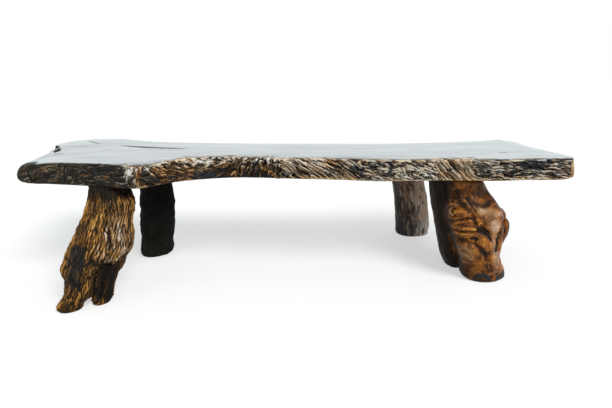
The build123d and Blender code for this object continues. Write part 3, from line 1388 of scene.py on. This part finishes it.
@dataclass
class ForkedRoot(Limb):
    """Front left: deeply furrowed golden root on two toes, with a ragged skirt over the inner toe."""

    node: str = "leg_front_left"
    name: str = "forked_root"
    slot: Slot = Slot.ROOT
    finish: WoodFinish = WoodFinish(
        Slot.ROOT.value,
        cool=((0.010, 0.007, 0.005), (0.067, 0.042, 0.021), (0.365, 0.250, 0.158), (0.87, 0.77, 0.67)),
        hot=((0.012, 0.007, 0.003), (0.108, 0.048, 0.011), (0.455, 0.213, 0.040), (0.86, 0.56, 0.20)),
        stain=(0.013, 0.015, 0.016), gloss=0.10, rough=0.5, coat=0.22, coat_rough=0.25,
        grain=(0.004, 0.004, 0.035), fleck=0.008)
    grid: float = 1.8 * MM
    seed: int = 23
    girth: float = 0.085
    plate: tuple[float, float] = (0.050, 0.0095)
    plate_height: float = 2.6
    plate_gap: float = 3.4
    sliver: tuple[float, float] = (0.028, 0.0046)
    sliver_height: float = 1.0
    sliver_gap: float = 1.4
    rope_height: float = 3.0
    thread_height: float = 2.4
    lump: float = 0.045
    lump_height: float = 4.2
    patch: float = 0.045
    crest_band: Band = (-2.0 * MM, 1.8 * MM)
    hollow_band: Band = (0.4 * MM, 2.4 * MM)
    gold_span: Band = (-0.1, 0.345)
    shine_span: Band = (0.13, 0.27)
    slab_shadow_band: Band = (0.325, 0.362)
    toe_band: Band = (0.085, 0.125)
    # Touches: the dark ones with a deep share are painted shade in pits, grooves, the cave between the toes
    # and under the skirt; the small pale, cool ones are painted highlights; the rest are the root's own
    # tones.
    touches: tuple[Touch, ...] = (
        Touch(((-668, 92), (-684, 70), (-692, 27), (-706, -20)), 24, -9, -0.25, 0, 0, 0.9),
        Touch(((-656, 85), (-652, 30), (-660, -15)), 46, -3, -0.40, -0.3, 0.15, 0.75),
        Touch(((-752, 155), (-758, 109), (-773, 70), (-788, 48)), 44, -3, -0.18, -0.2, 0.62, 0.4),
        Touch(((-714, 70), (-728, 0)), 26, 0, -0.12, -0.5),
        Touch(((-590, 137), (-612, 112), (-640, 90), (-668, 96)), 16, -5, -0.25, 0, 0, 0.55),
        Touch(((-596, 160), (-618, 132), (-648, 112), (-676, 116)), 12, 5, 0.12, -0.2),
        Touch(((-640, 215), (-644, 190), (-648, 160)), 12, -5, -0.15, -0.2, 0.3, 0.6),
        Touch(((-628, 258), (-630, 240)), 9, -4, 0, 0, 0, 0.8),
        Touch(((-642, 295), (-644, 278)), 9, -4, 0, 0, 0, 0.8),
        Touch(((-648, 236), (-656, 205), (-652, 192)), 6, 2, 0.20, -0.9),
        Touch(((-606, 226), (-608, 200), (-614, 190)), 6, 2, 0.18, -0.9),
        Touch(((-660, 128), (-672, 102)), 8, 2, 0.20, -0.8),
        Touch(((-668, 142), (-676, 128)), 8, 2, 0.22, 0.2),
        Touch(((-606, 262), (-610, 165)), 44, 2, 0.14, -0.38),
        Touch(((-670, 280), (-700, 200)), 30, 2, 0.08, 0.3),
        Touch(((-590, 200), (-588, 160)), 16, 3, 0.0, 0.2),
        Touch(((-815, 20), (-800, -5)), 34, 0, 0.06, 0.5),
        Touch(((-600, 40), (-604, 0)), 14, 0, 0.14, 0.8),
        Touch(((-745, 215), (-728, 245)), 12, -3, -0.2, 0, 0.3, 0.35),
        Touch(((-812, 100), (-818, 70)), 16, 4, -0.05, 0.2),
    )

    def bark(self, size: tuple[float, float], sway: float) -> tuple[np.ndarray, ...]:
        """Splits the root's bark into long plates that run down it.

        Args:
            size: length and width of a plate, in metres.
            sway: how far the plates wander, in widths.

        Returns:
            Gap to the next plate, tone and place across.
        """
        drift = sway * self.noise.layered(self.home / 0.035 + size[0], 2)
        x, y = self.straight.T
        around = np.arctan2(y, x) * self.girth + drift * size[1]
        return self.noise.flakes(self.height / size[0] + 3, around / size[1])

    def sculpt(self) -> None:
        """Carves and paints the root."""
        clay, noise, height = self.clay, self.noise, self.height
        ropes = noise.furrows(self.along_grain(0.34, 0.16, 0.06), 0.5)
        gap, tone, _ = self.bark(self.plate, 0.8)
        fine_gap, fine_tone, _ = self.bark(self.sliver, 0.7)
        threads = noise.ridges(self.along_grain(0.10, 0.060, 0.035), 2)
        groove = 1 - smoothstep(0.0, 0.42, gap)
        fine_groove = 1 - smoothstep(0.0, 0.34, fine_gap)
        lumps = noise.layered(self.home / self.lump, 2)
        marks = self.touch()
        relief = self.rope_height * (ropes - 0.7) + self.thread_height * (threads - MEAN_RIDGE)
        relief += self.plate_height * (tone - MEAN_TONE) - self.plate_gap * groove
        relief += self.sliver_height * (fine_tone - MEAN_TONE) - self.sliver_gap * fine_groove
        relief += self.lump_height * lumps + marks["height"]
        clay.push(relief * MM * self.free)
        crest = clay.bulge(7)
        ridge = smoothstep(*self.crest_band, crest)
        patch = noise.layered(self.home / self.patch + 7, 3)
        gold = window(*self.gold_span, 0.022, height)
        inner = smoothstep(-0.15, 0.35, self.straight[:, 0] + 0.3 * patch)
        shine = window(*self.shine_span, 0.03, height) * inner
        low = 1 - smoothstep(*self.toe_band, height + 0.02 * patch)
        # painted highlights: ridges, most of all in the gold band, and the shine band on the inner side are
        # painted lighter
        pale = 0.10 + 0.36 * ridge * (0.25 + 0.75 * gold) + marks["pale"]
        pale += 0.30 * (tone - MEAN_TONE) + 0.34 * (fine_tone - MEAN_TONE) + 0.34 * (threads - MEAN_RIDGE)
        pale += 0.10 * shine * ridge + 0.12 * patch
        # painted shadow: the head of the root, under the slab, is painted darker; the toes are a little
        # darker too
        pale -= 0.30 * smoothstep(*self.slab_shadow_band, height) + 0.08 * low
        warm = 0.95 - 0.55 * shine * smoothstep(0.35, 0.8, fine_tone) + 0.20 * patch + 0.2 * low
        stain = 0.12 + 0.26 * np.clip(patch, 0, 1) * (1 - ridge) + 0.34 * low * (1 - ridge)
        stain += 0.30 * (fine_tone < 0.14) + marks["stain"]
        # painted shade: hollows and the gaps between bark plates are painted near-black
        deep = smoothstep(*self.hollow_band, -crest)
        gaps = (0.62 + 0.15 * low) * groove + 0.35 * fine_groove
        deep = np.maximum(0.9 * deep, np.maximum(marks["deep"], gaps))
        self.paint(pale=pale, warm=warm + marks["warm"], stain=stain, deep=np.clip(deep, 0, 1))


@dataclass
class DarkShadedLog(Limb):
    """Back left: plain rough log of dark wood, painted near black as the deep shade under the slab."""

    node: str = "leg_back_left"
    name: str = "dark_shaded_log"
    slot: Slot = Slot.CHARRED
    # near-black palette: painted shade under the slab, over dark wood
    finish: WoodFinish = WoodFinish(
        Slot.CHARRED.value,
        cool=((0.003, 0.003, 0.003), (0.008, 0.008, 0.007), (0.022, 0.021, 0.018), (0.06, 0.056, 0.048)),
        hot=((0.004, 0.003, 0.003), (0.010, 0.008, 0.006), (0.026, 0.021, 0.015), (0.07, 0.058, 0.045)),
        stain=(0.006, 0.007, 0.008), gloss=0.06, rough=0.75)
    grid: float = 2.4 * MM
    seed: int = 5
    plate_height: float = 2.0
    bark_height: float = 3.0
    lump: float = 0.05
    lump_height: float = 4.0
    crest_band: Band = (-1.5 * MM, 2 * MM)
    hollow_band: Band = (0.8 * MM, 3 * MM)

    def sculpt(self) -> None:
        """Carves and paints the log."""
        clay, noise = self.clay, self.noise
        plates = noise.layered(self.along_grain(0.5, 0.06, 0.2), 3)
        bark = noise.furrows(self.along_grain(0.24, 0.09, 0.25), 0.45)
        lumps = noise.layered(self.home / self.lump, 2)
        relief = self.plate_height * plates + self.bark_height * (bark - 0.75) + self.lump_height * lumps
        clay.push(relief * MM * self.free)
        crest = clay.bulge(8)
        # painted highlights on the crests and painted shade in the hollows
        self.paint(
            pale=0.25 + 0.30 * smoothstep(*self.crest_band, crest) + 0.15 * plates,
            warm=np.full(clay.count, 0.25), stain=np.full(clay.count, 0.2),
            deep=smoothstep(*self.hollow_band, -crest))


@dataclass
class WeatheredLog(Limb):
    """Back right: weathered grey-brown log, splayed, with a knot and a long groove."""

    node: str = "leg_back_right"
    name: str = "weathered_log"
    slot: Slot = Slot.WEATHERED
    finish: WoodFinish = WoodFinish(
        Slot.WEATHERED.value,
        cool=((0.018, 0.015, 0.012), (0.075, 0.060, 0.045), (0.33, 0.275, 0.23), (0.78, 0.69, 0.61)),
        hot=((0.024, 0.014, 0.008), (0.14, 0.070, 0.032), (0.42, 0.25, 0.145), (0.84, 0.60, 0.44)),
        gloss=0.2, grain=(0.004, 0.004, 0.06), fleck=0.012)
    seed: int = 31
    knot: tuple[float, float] = (386, 292)
    knot_depth: float = 3.0
    grain_height: float = 2.4
    fine_height: float = 1.4
    knot_size: float = 0.008
    knot_ring: Band = (0.013, 0.004)
    lump: float = 0.07
    lump_height: float = 3.0
    lean: Size = (-13, 0, 0)
    upper_band: Band = (0.16, 0.40)
    hollow_band: Band = (0.4 * MM, 2.0 * MM)
    red_span: Band = (0.10, 0.32)
    grey_band: Band = (0.04, 0.12)
    warm_band: Band = (0.2, 0.34)
    cuts: tuple[Stroke, ...] = (
        Stroke(((439, 167), (428, 138), (422, 108), (414, 86)), 9, -7, 1.0),
        Stroke(((455, 110), (466, 128)), 6, -4, 1.0),
        Stroke(((478, 122), (486, 145)), 5, -3, 0.8),
        Stroke(((463, 278), (470, 296)), 5, -4, 1.0),
        Stroke(((455, 236), (463, 262)), 4, -3, 0.8),
        Stroke(((468, 190), (474, 222)), 4, -3, 0.8),
        Stroke(((414, 327), (417, 306)), 5, -4, 1.0),
        Stroke(((425, 305), (428, 286)), 6, -4, 1.0),
        Stroke(((410, 283), (413, 272)), 5, -3, 1.0),
        Stroke(((378, 246), (367, 220), (360, 200)), 6, -4, 1.0),
        Stroke(((414, 217), (404, 199)), 6, -4, 1.0),
    )
    # Touches: the first two paint the left edge darker and the right edge lighter, as painted shade and
    # painted light; the dark ones with a deep share are painted shade in cracks; the rest are the log's own
    # tones.
    touches: tuple[Touch, ...] = (
        Touch(((319, 365), (336, 285), (341, 219)), 26, -2, -0.30, -0.1, 0.3, 0.2),
        Touch(((410, 366), (425, 299), (439, 250)), 30, 1, 0.30, 0.3, -0.1),
        Touch(((365, 345), (372, 262)), 22, 0, -0.14, 0.3, 0.0),
        Touch(((429, 245), (433, 223)), 20, 2, 0.34, 0.2, -0.2),
        Touch(((345, 254), (345, 226)), 12, 1, 0.26, 0.0, -0.1),
        Touch(((401, 332), (402, 304)), 10, 0, 0.10, 0.9, -0.3),
        Touch(((416, 250), (414, 237)), 9, 0, 0.10, 0.9, -0.3),
        Touch(((432, 273), (435, 250)), 9, 0, 0.16, 0.8, -0.3),
        Touch(((394, 241), (396, 221)), 12, 0, 0.24, 0.3, -0.2),
        Touch(((385, 206), (440, 199)), 20, 0, 0.06, -0.5, 0.0),
        Touch(((352, 246), (345, 205), (352, 186)), 13, -2, -0.30, -0.2, 0.2, 0.5),
        Touch(((343, 187), (366, 176)), 12, 0, -0.3, -0.3, 0.1, 0.4),
        Touch(((437, 193), (434, 186)), 10, -2, -0.3, -0.3, 0.2, 0.5),
    )

    def sculpt(self) -> None:
        """Carves and paints the log."""
        clay, noise, height = self.clay, self.noise, self.height
        grain = noise.furrows(self.along_grain(0.20, 0.13, 0.10), 0.5)
        fine = noise.furrows(self.along_grain(0.14, 0.11, 0.075) + 20, 0.5)
        lumps = noise.layered(self.home / self.lump, 2)
        upper = smoothstep(*self.upper_band, height)
        self.move(upper * (0.55 + 0.45 * smoothstep(-0.5, 0.9, self.straight[:, 0])), self.lean)
        cut, shade = drawn(self.cuts, self.flat, self.front)
        marks = self.touch()
        eye = np.hypot(self.flat[:, 0] - self.knot[0] * MM, (self.flat[:, 1] - self.knot[1] * MM) * 0.8)
        ring, width = self.knot_ring
        knot = np.exp(-(eye / self.knot_size) ** 2) - 0.6 * np.exp(-((eye - ring) / width) ** 2)
        relief = self.grain_height * (grain - 0.75) + self.fine_height * (fine - 0.75)
        relief += self.lump_height * lumps - self.knot_depth * knot * self.front + cut + marks["height"]
        clay.push(relief * MM * self.free)
        crest = clay.bulge(7)
        # painted light: the right side, towards the key lamp, is painted lighter and the left darker
        right = smoothstep(-0.9, 0.9, self.straight[:, 0])
        red = smoothstep(0.1, 0.8, self.straight[:, 0]) * window(*self.red_span, 0.05, height)
        grey = 1 - smoothstep(*self.grey_band, height)
        patch = noise.layered(self.along_grain(0.5, 0.15, 0.1), 2)
        pale = 0.24 + 0.46 * right + 0.62 * (grain - 0.7) + 0.50 * (fine - 0.7) + 0.40 * patch
        warm = 0.30 + 0.45 * red + 0.35 * smoothstep(*self.warm_band, height) - 0.35 * grey + 0.25 * patch
        stain = 0.14 + 0.22 * grey + 0.1 * patch + marks["stain"]
        # painted shade: hollows, cuts and the knot's pit are painted dark
        deep = smoothstep(*self.hollow_band, -crest)
        for other in (shade, knot * self.front * 0.8, marks["deep"]):
            deep = np.maximum(deep, other)
        self.paint(pale=pale + marks["pale"], warm=warm + marks["warm"], stain=stain, deep=deep)


@dataclass
class Burl(Limb):
    """Front right: dark fluted trunk, glossy burl with folds and an eye, and an ear at its outer side."""

    node: str = "leg_front_right"
    name: str = "burl"
    slot: Slot = Slot.BURL
    finish: WoodFinish = WoodFinish(
        Slot.BURL.value,
        cool=((0.010, 0.006, 0.004), (0.074, 0.035, 0.016), (0.345, 0.193, 0.098), (0.79, 0.60, 0.45)),
        hot=((0.012, 0.005, 0.002), (0.110, 0.036, 0.007), (0.46, 0.160, 0.022), (0.84, 0.42, 0.10)),
        gloss=0.10, rough=0.42, coat=0.30, coat_rough=0.2, grain=(0.010, 0.010, 0.010),
        grain_depth=0.2 * MM, fleck=0.009)
    seed: int = 47
    grid: float = 2.1 * MM
    triangles: int = 190000
    flute: float = 0.017
    flute_height: float = 4.5
    lump: float = 0.06
    lump_height: float = 2.2
    line_height: float = 1.4
    line_step: float = 0.0060
    line_pull: float = 0.018
    line_length: float = 0.07
    patch: float = 0.045
    mottle: float = 0.014
    crest_band: Band = (-1.6 * MM, 1.8 * MM)
    hollow_band: Band = (0.7 * MM, 3.4 * MM)
    above_band: Band = (0.262, 0.310)
    ear_band: Band = (0.728, 0.745)
    ear_span: Band = (0.05, 0.275)
    ear_drop: Size = (0, 0, -12)
    ear_paint: Band = (0.733, 0.742)
    shoulder: Pull = Pull((726, 250), (26, 40), (9, 0, 0))
    pulls: tuple[Pull, ...] = (
        Pull((748, 258), (20, 24), (-2, 0, -16)),
        Pull((738, 112), (22, 26), (-3, 0, -16)),
        Pull((745, 78), (24, 30), (-4, 0, 0)),
    )
    border: Line = (
        (509, 392), (512, 368), (513, 343), (517, 319), (512, 294), (504, 274), (503, 249), (513, 228),
        (521, 208), (526, 181), (532, 155), (545, 123), (558, 95), (573, 62), (591, 40), (601, 10))
    lips: tuple[Lip, ...] = (
        Lip(((654, 197), (642, 209), (635, 230), (625, 250), (607, 270), (587, 290), (573, 307)),
            7, 30, 7, 14, 0.55, 0.10),
        Lip(((706, 147), (689, 170), (666, 186), (651, 195), (636, 203)), 6, 16, 12, 14, 1.0, 0.15),
        Lip(((512, 240), (533, 234), (554, 229), (574, 235), (594, 237), (620, 228)),
            4, 14, 5, 9, 0.85, 0.08),
        Lip(((526, 212), (545, 198), (571, 189), (605, 186), (640, 180)), 4, 10, 4, 8, 0.70, 0.15),
        Lip(((539, 175), (566, 166), (598, 158), (625, 160)), 3, 8, 4, 8, 0.70, 0.12),
    )
    flow: tuple[Line, ...] = (
        ((573, 151), (605, 142), (632, 133), (655, 113), (679, 90), (689, 69)),
        ((689, 170), (700, 120), (714, 60), (724, 10)),
        ((735, 230), (733, 190), (729, 146), (738, 60), (750, 0)),
        ((520, 330), (512, 294), (503, 249), (526, 181), (545, 123), (573, 62)),
    )
    # Touches: the dark ones with a deep share are painted shade in the mouth, the cup, under the ridge, in
    # the ear's gap and in the eye's pits; the small pale, cool strokes on the shoulder, the eye and the
    # lower bulge are painted highlights; the rest are the burl's own tones.
    touches: tuple[Touch, ...] = (
        Touch(((603, 282), (636, 261), (663, 247), (691, 228), (705, 202)), 32, 2, 0.16, -0.50),
        Touch(((646, 263), (677, 260), (706, 247)), 22, 2, 0.14, -0.50),
        Touch(((700, 205), (710, 159), (718, 111), (732, 61), (746, 20)), 32, 0, 0.30, -0.60),
        Touch(((708, 250), (720, 240)), 9, 1, 0.22, -0.5),
        Touch(((600, 330), (650, 322)), 44, -7, -0.06, 0.0, 0.15),
        Touch(((590, 306), (603, 289), (624, 279), (645, 276), (662, 282), (676, 296)),
              15, -4, -0.22, -0.2, 0.3, 0.35),
        Touch(((625, 305), (645, 300)), 12, 0, 0.14, 0.4),
        Touch(((545, 300), (565, 296)), 14, 2, 0.10, -0.2),
        Touch(((560, 288), (584, 275), (606, 256), (621, 230), (627, 207)), 18, -6, -0.20, 0.2, 0, 0.35),
        Touch(((641, 190), (662, 180), (682, 166), (696, 148)), 16, -7, -0.30, 0, 0, 0.85),
        Touch(((632, 224), (647, 211)), 14, 2, 0.20, 0.7),
        Touch(((548, 260), (563, 257), (582, 250)), 15, 6, 0.16, 0.5),
        Touch(((509, 262), (512, 277), (522, 286), (537, 288), (553, 284)), 8, 3, 0.18, -0.3),
        Touch(((531, 277), (526, 268), (528, 256), (538, 248)), 4, 2, 0.34, -0.7),
        Touch(((540, 272), (536, 263), (540, 254)), 5, -3, -0.1, 0, 0, 0.7),
        Touch(((541, 275), (546, 271)), 5, -2, 0, 0, 0, 0.9),
        Touch(((545, 247), (551, 246)), 5, -2, 0, 0, 0, 0.9),
        Touch(((557, 252), (566, 250), (574, 255)), 5, -2, 0, 0, 0, 0.7),
        Touch(((553, 217), (571, 219), (590, 222), (613, 222)), 8, 3, 0.12, 0.1),
        Touch(((530, 218), (550, 207), (577, 199), (604, 195), (640, 188)), 8, 3, 0.16, 0.1),
        Touch(((540, 186), (567, 177), (597, 170), (625, 171)), 7, 3, 0.14, 0.1),
        Touch(((620, 154), (639, 151)), 11, -6, -0.2, 0, 0, 0.85),
        Touch(((573, 153), (605, 144), (632, 135), (655, 115), (679, 90), (689, 69)),
              15, -7, -0.14, 0, 0, 0.55),
        Touch(((600, 120), (618, 90)), 46, 9, 0.14, -0.15),
        Touch(((590, 126), (608, 119), (626, 104)), 6, 1, 0.18, -0.4),
        Touch(((594, 104), (613, 93), (633, 76)), 6, 1, 0.20, -0.4),
        Touch(((604, 112), (620, 101), (634, 88)), 5, 1, 0.14, -0.4),
        Touch(((585, 90), (600, 78), (616, 70)), 6, -1, -0.1, 0, 0, 0.5),
        Touch(((662, 146), (684, 118)), 26, 4, 0.18, 0.2),
        Touch(((689, 123), (702, 68), (712, 22)), 8, -2, -0.10, 0.2, 0, 0.25),
        Touch(((722, 190), (728, 130), (740, 60)), 5, -1, -0.10, 0.5, 0, 0.15),
        Touch(((655, 0), (683, 4), (706, -8)), 19, -2, -0.15, -0.4, 0.7),
        Touch(((736, 8), (741, -13)), 9, 0, -0.15, -0.4, 0.8),
        Touch(((756, 15), (762, -2)), 9, 0, -0.15, -0.4, 0.8),
        Touch(((600, 10), (617, -9), (672, -24), (726, -26), (762, -12)), 15, 0, -0.25, 0, 0.5),
        Touch(((734, 222), (731, 195), (728, 165)), 6, -6, -0.1, 0, 0, 0.6),
        Touch(((728, 168), (725, 135), (722, 104)), 12, -9, -0.2, 0, 0, 0.95),
        Touch(((746, 220), (750, 180), (742, 130)), 9, 0, 0.12, 0.4),
        Touch(((548, 150), (556, 110)), 12, 0, 0.10, 0.4),
    )

    def fold(self) -> tuple[np.ndarray, np.ndarray, np.ndarray]:
        """Draws the folds on the burl's front.

        Returns:
            Relief in millimetres, shade and light.
        """
        relief, shade, light = np.zeros((3, self.clay.count))
        for lip in self.lips:
            lip_relief, lip_shade, lip_light = lip.shape(self.flat)
            relief += lip_relief * self.front
            shade = np.maximum(shade, lip_shade * self.front)
            light = np.maximum(light, lip_light * self.front)
        return relief, shade, light

    def shape(self) -> None:
        """Sets the shoulder and the ear, and closes the crease between trunk and burl."""
        x, z = self.flat.T
        ear = smoothstep(*self.ear_band, x) * window(*self.ear_span, 0.02, z)
        self.move(ear, self.ear_drop)
        self.move(self.shoulder.nearness(self.flat) * (1 - ear), self.shoulder.way)
        for pull in self.pulls:
            self.move(pull.nearness(self.flat), pull.way)
        away, _ = nearest(self.border, self.flat)
        crease = window(-0.012, 0.035, 0.012, away) * window(0.02, 0.34, 0.03, z) * (self.front > 0.01)
        self.clay.fill(self.clay.eased(crease, 6), 70)
        self.flat = BOARD.cast(self.clay.points)
        self.front = smoothstep(0.25, -0.25, self.clay.normals[:, 1])

    def contours(self, trunk: np.ndarray) -> np.ndarray:
        """Draws fine raised lines that run with the nearest folds.

        Args:
            trunk: 1 on the trunk, which has none.

        Returns:
            The lines' height, from -0.55 to 0.45.
        """
        level, weight = np.zeros(self.clay.count), np.full(self.clay.count, 0.02)
        level += 0.02 * (self.flat[:, 0] + 0.3 * self.flat[:, 1])
        for line in (*(lip.line for lip in self.lips), *self.flow):
            away = nearest(line, self.flat)[0]
            pull = np.exp(-np.abs(away) / self.line_pull)
            level += pull * np.abs(away)
            weight += pull
        level /= weight
        around = self.noise.layered(self.home / 0.03, 2) * 0.5
        x, _, z = self.home.T
        spots = np.stack(
            [level / self.line_step + around, x / self.line_length, z / self.line_length], axis=1)
        return (self.noise.ridges(spots, 2) - 0.55) * (1 - trunk) * smoothstep(0.1, 0.8, weight)

    def sculpt(self) -> None:
        """Carves and paints the burl."""
        self.shape()
        clay, noise, height, flat = self.clay, self.noise, self.height, self.flat
        away, _ = nearest(self.border, flat)
        wander = 0.004 * noise.soft(self.home / 0.02)
        trunk = smoothstep(0.009, -0.009, away + wander)
        trunk = np.maximum(trunk, (1 - self.front) * smoothstep(0.65, 0.61, self.home[:, 0]))
        lean = self.home[:, 0] + 0.22 * height
        flutes = noise.furrows(np.stack([lean, self.home[:, 1], height * 0.10], axis=1) / self.flute, 0.45)
        lumps = noise.layered(self.home / self.lump, 2)
        folds, fold_shade, light = self.fold()
        marks = self.touch()
        lines = self.contours(trunk)
        relief = (folds + marks["height"]) * (1 - trunk) + trunk * self.flute_height * (flutes - 0.8)
        relief += self.lump_height * lumps + self.line_height * lines
        clay.push(relief * MM * self.free)
        crest = clay.bulge(8)
        out = smoothstep(*self.crest_band, crest)
        patch = noise.layered(self.home / self.patch + 3, 3)
        mottle = noise.layered(self.home / self.mottle + 9, 2)
        brow = smoothstep(0.0, 0.02, nearest(self.lips[0].line, flat)[0])
        # painted shade: the upper burl, under the slab, is painted darker and more olive, with mottles
        above = smoothstep(*self.above_band, flat[:, 1]) * brow
        ear = smoothstep(*self.ear_paint, flat[:, 0]) * self.front
        # painted highlights: crests and the lit sides of the folds are painted lighter
        burl = 0.34 + 0.34 * (out - 0.45) + 0.18 * patch + light + marks["pale"]
        burl += 0.26 * lines - 0.21 * above + 0.28 * above * mottle + 0.08 * mottle - 0.16 * ear
        # painted shade: the crease where the burl meets the trunk is painted darker
        edge = smoothstep(0.035, 0.0, away) * (1 - smoothstep(0.23, 0.27, flat[:, 1]))
        bark = 0.09 * flutes * smoothstep(0.3, 0.9, flutes) - 0.06
        pale = (burl - 0.20 * edge) * (1 - trunk) + bark * trunk
        warm = 0.92 + marks["warm"] + 0.20 * patch - 0.15 * above + 0.3 * ear
        warm = warm * (1 - trunk) + trunk * 0.1
        stain = (0.08 + 0.22 * patch + 0.14 * above + marks["stain"]) * (1 - trunk) + trunk * 0.2
        shade = np.maximum(fold_shade, marks["deep"]) * (1 - trunk)
        deep = np.maximum(smoothstep(*self.hollow_band, -crest), shade)
        self.paint(pale=pale, warm=warm, stain=stain, deep=deep)


@dataclass
class Wedges:
    """The four hidden fox wedges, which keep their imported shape."""

    nodes: tuple[str, ...] = (
        "wedge_front_left", "wedge_back_left", "wedge_front_right", "wedge_back_right")

    def build(self) -> None:
        """Dresses the wedges in raw wood."""
        wood = SplitWood().build()
        for name in self.nodes:
            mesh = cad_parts[name].data
            mesh.materials.clear()
            mesh.materials.append(wood)
        log.info("wedges dressed: %d", len(self.nodes))


# ---------------------------------------------------------------- studio
@dataclass
class Lamp:
    """A broad far light, like a soft sun."""

    name: str
    from_place: Size
    strength: float
    softness: float
    tint: Colour = (1.0, 1.0, 1.0)

    def build(self) -> None:
        """Adds the lamp."""
        light = bpy.data.lights.new(self.name, "SUN")
        light.energy = self.strength
        light.angle = math.radians(self.softness)
        light.color = self.tint
        lamp = bpy.data.objects.new(self.name, light)
        lamp.location = self.from_place
        lamp.rotation_euler = Vector(self.from_place).to_track_quat("Z", "Y").to_euler()
        bpy.context.scene.collection.objects.link(lamp)


@dataclass
class Studio:
    """Pale floor, white surroundings, soft lamps and the camera."""

    floor_size: float = 400.0
    floor_shade: float = 0.62
    floor_bounce: float = 0.42
    floor_glow: float = 0.50
    ambient: float = 0.45
    sky: Colour = (0.91, 0.98, 1.0)
    camera_place: Size = CAMERA_PLACE
    tilt_down: float = 16.1
    turn: float = 5.0
    lens: float = 23.235
    lamps: tuple[Lamp, ...] = (
        Lamp("key", (1.5, -2.0, 2.2), 2.1, 28.0, (1.0, 0.985, 0.96)),
        Lamp("fill", (-2.0, -2.4, 1.2), 0.30, 60.0, (0.95, 0.98, 1.0)),
    )

    def camera(self) -> None:
        """Places the camera."""
        view = bpy.data.cameras.new("camera")
        view.lens = self.lens
        view.sensor_width = 36.0
        view.clip_end = 200
        camera = bpy.data.objects.new("camera", view)
        camera.location = self.camera_place
        camera.rotation_euler = (math.radians(90 - self.tilt_down), 0, math.radians(-self.turn))
        bpy.context.scene.collection.objects.link(camera)
        bpy.context.scene.camera = camera

    def floor(self) -> None:
        """Adds the floor, which holds the bench's shadow."""
        bpy.ops.object.select_all(action="DESELECT")
        bpy.ops.mesh.primitive_plane_add(size=self.floor_size)
        floor = bpy.context.object
        floor.name = "floor"
        nodes = Nodes.material("floor")
        seen = nodes.maths("MAXIMUM", nodes.ray("Camera"), nodes.ray("Glossy"))
        colour = nodes.blend(seen, (self.floor_bounce,) * 3, (self.floor_shade,) * 3)
        shine = nodes.blend(seen, (0.0, 0.0, 0.0), (self.floor_glow,) * 3)
        floor.data.materials.append(nodes.output(nodes.surface(
            Base_Color=colour, Roughness=1.0, Specular_IOR_Level=0.0, Emission_Color=shine,
            Emission_Strength=1.0)))

    def world(self) -> None:
        """White for the camera, pale sky in reflections, plain ambient light on the bench."""
        world = bpy.data.worlds.new("sky")
        bpy.context.scene.world = world
        nodes = Nodes(world)
        seen = nodes.maths("MAXIMUM", nodes.ray("Camera"), nodes.ray("Glossy"))
        sky = nodes.node("ShaderNodeBackground", {}, {
            "Color": nodes.blend(nodes.ray("Camera"), self.sky, (1.0, 1.0, 1.0)),
            "Strength": self.ambient + (1 - self.ambient) * seen})
        nodes.node("ShaderNodeOutputWorld", {}, {"Surface": sky.outputs[0]})

    def build(self) -> None:
        """Sets up the whole studio."""
        self.floor()
        self.world()
        self.camera()
        for lamp in self.lamps:
            lamp.build()
        bpy.context.scene.view_settings.view_transform = "Standard"
        log.info("studio ready")


def main() -> None:
    """Builds the bench, piece by piece, and its studio."""
    logging.basicConfig(level=logging.INFO, format="%(name)s: %(message)s")
    Slab().build()
    for limb in (ForkedRoot(), DarkShadedLog(), Burl(), WeatheredLog()):
        limb.build()
    Wedges().build()
    Studio().build()


if __name__ == "__main__":
    main()
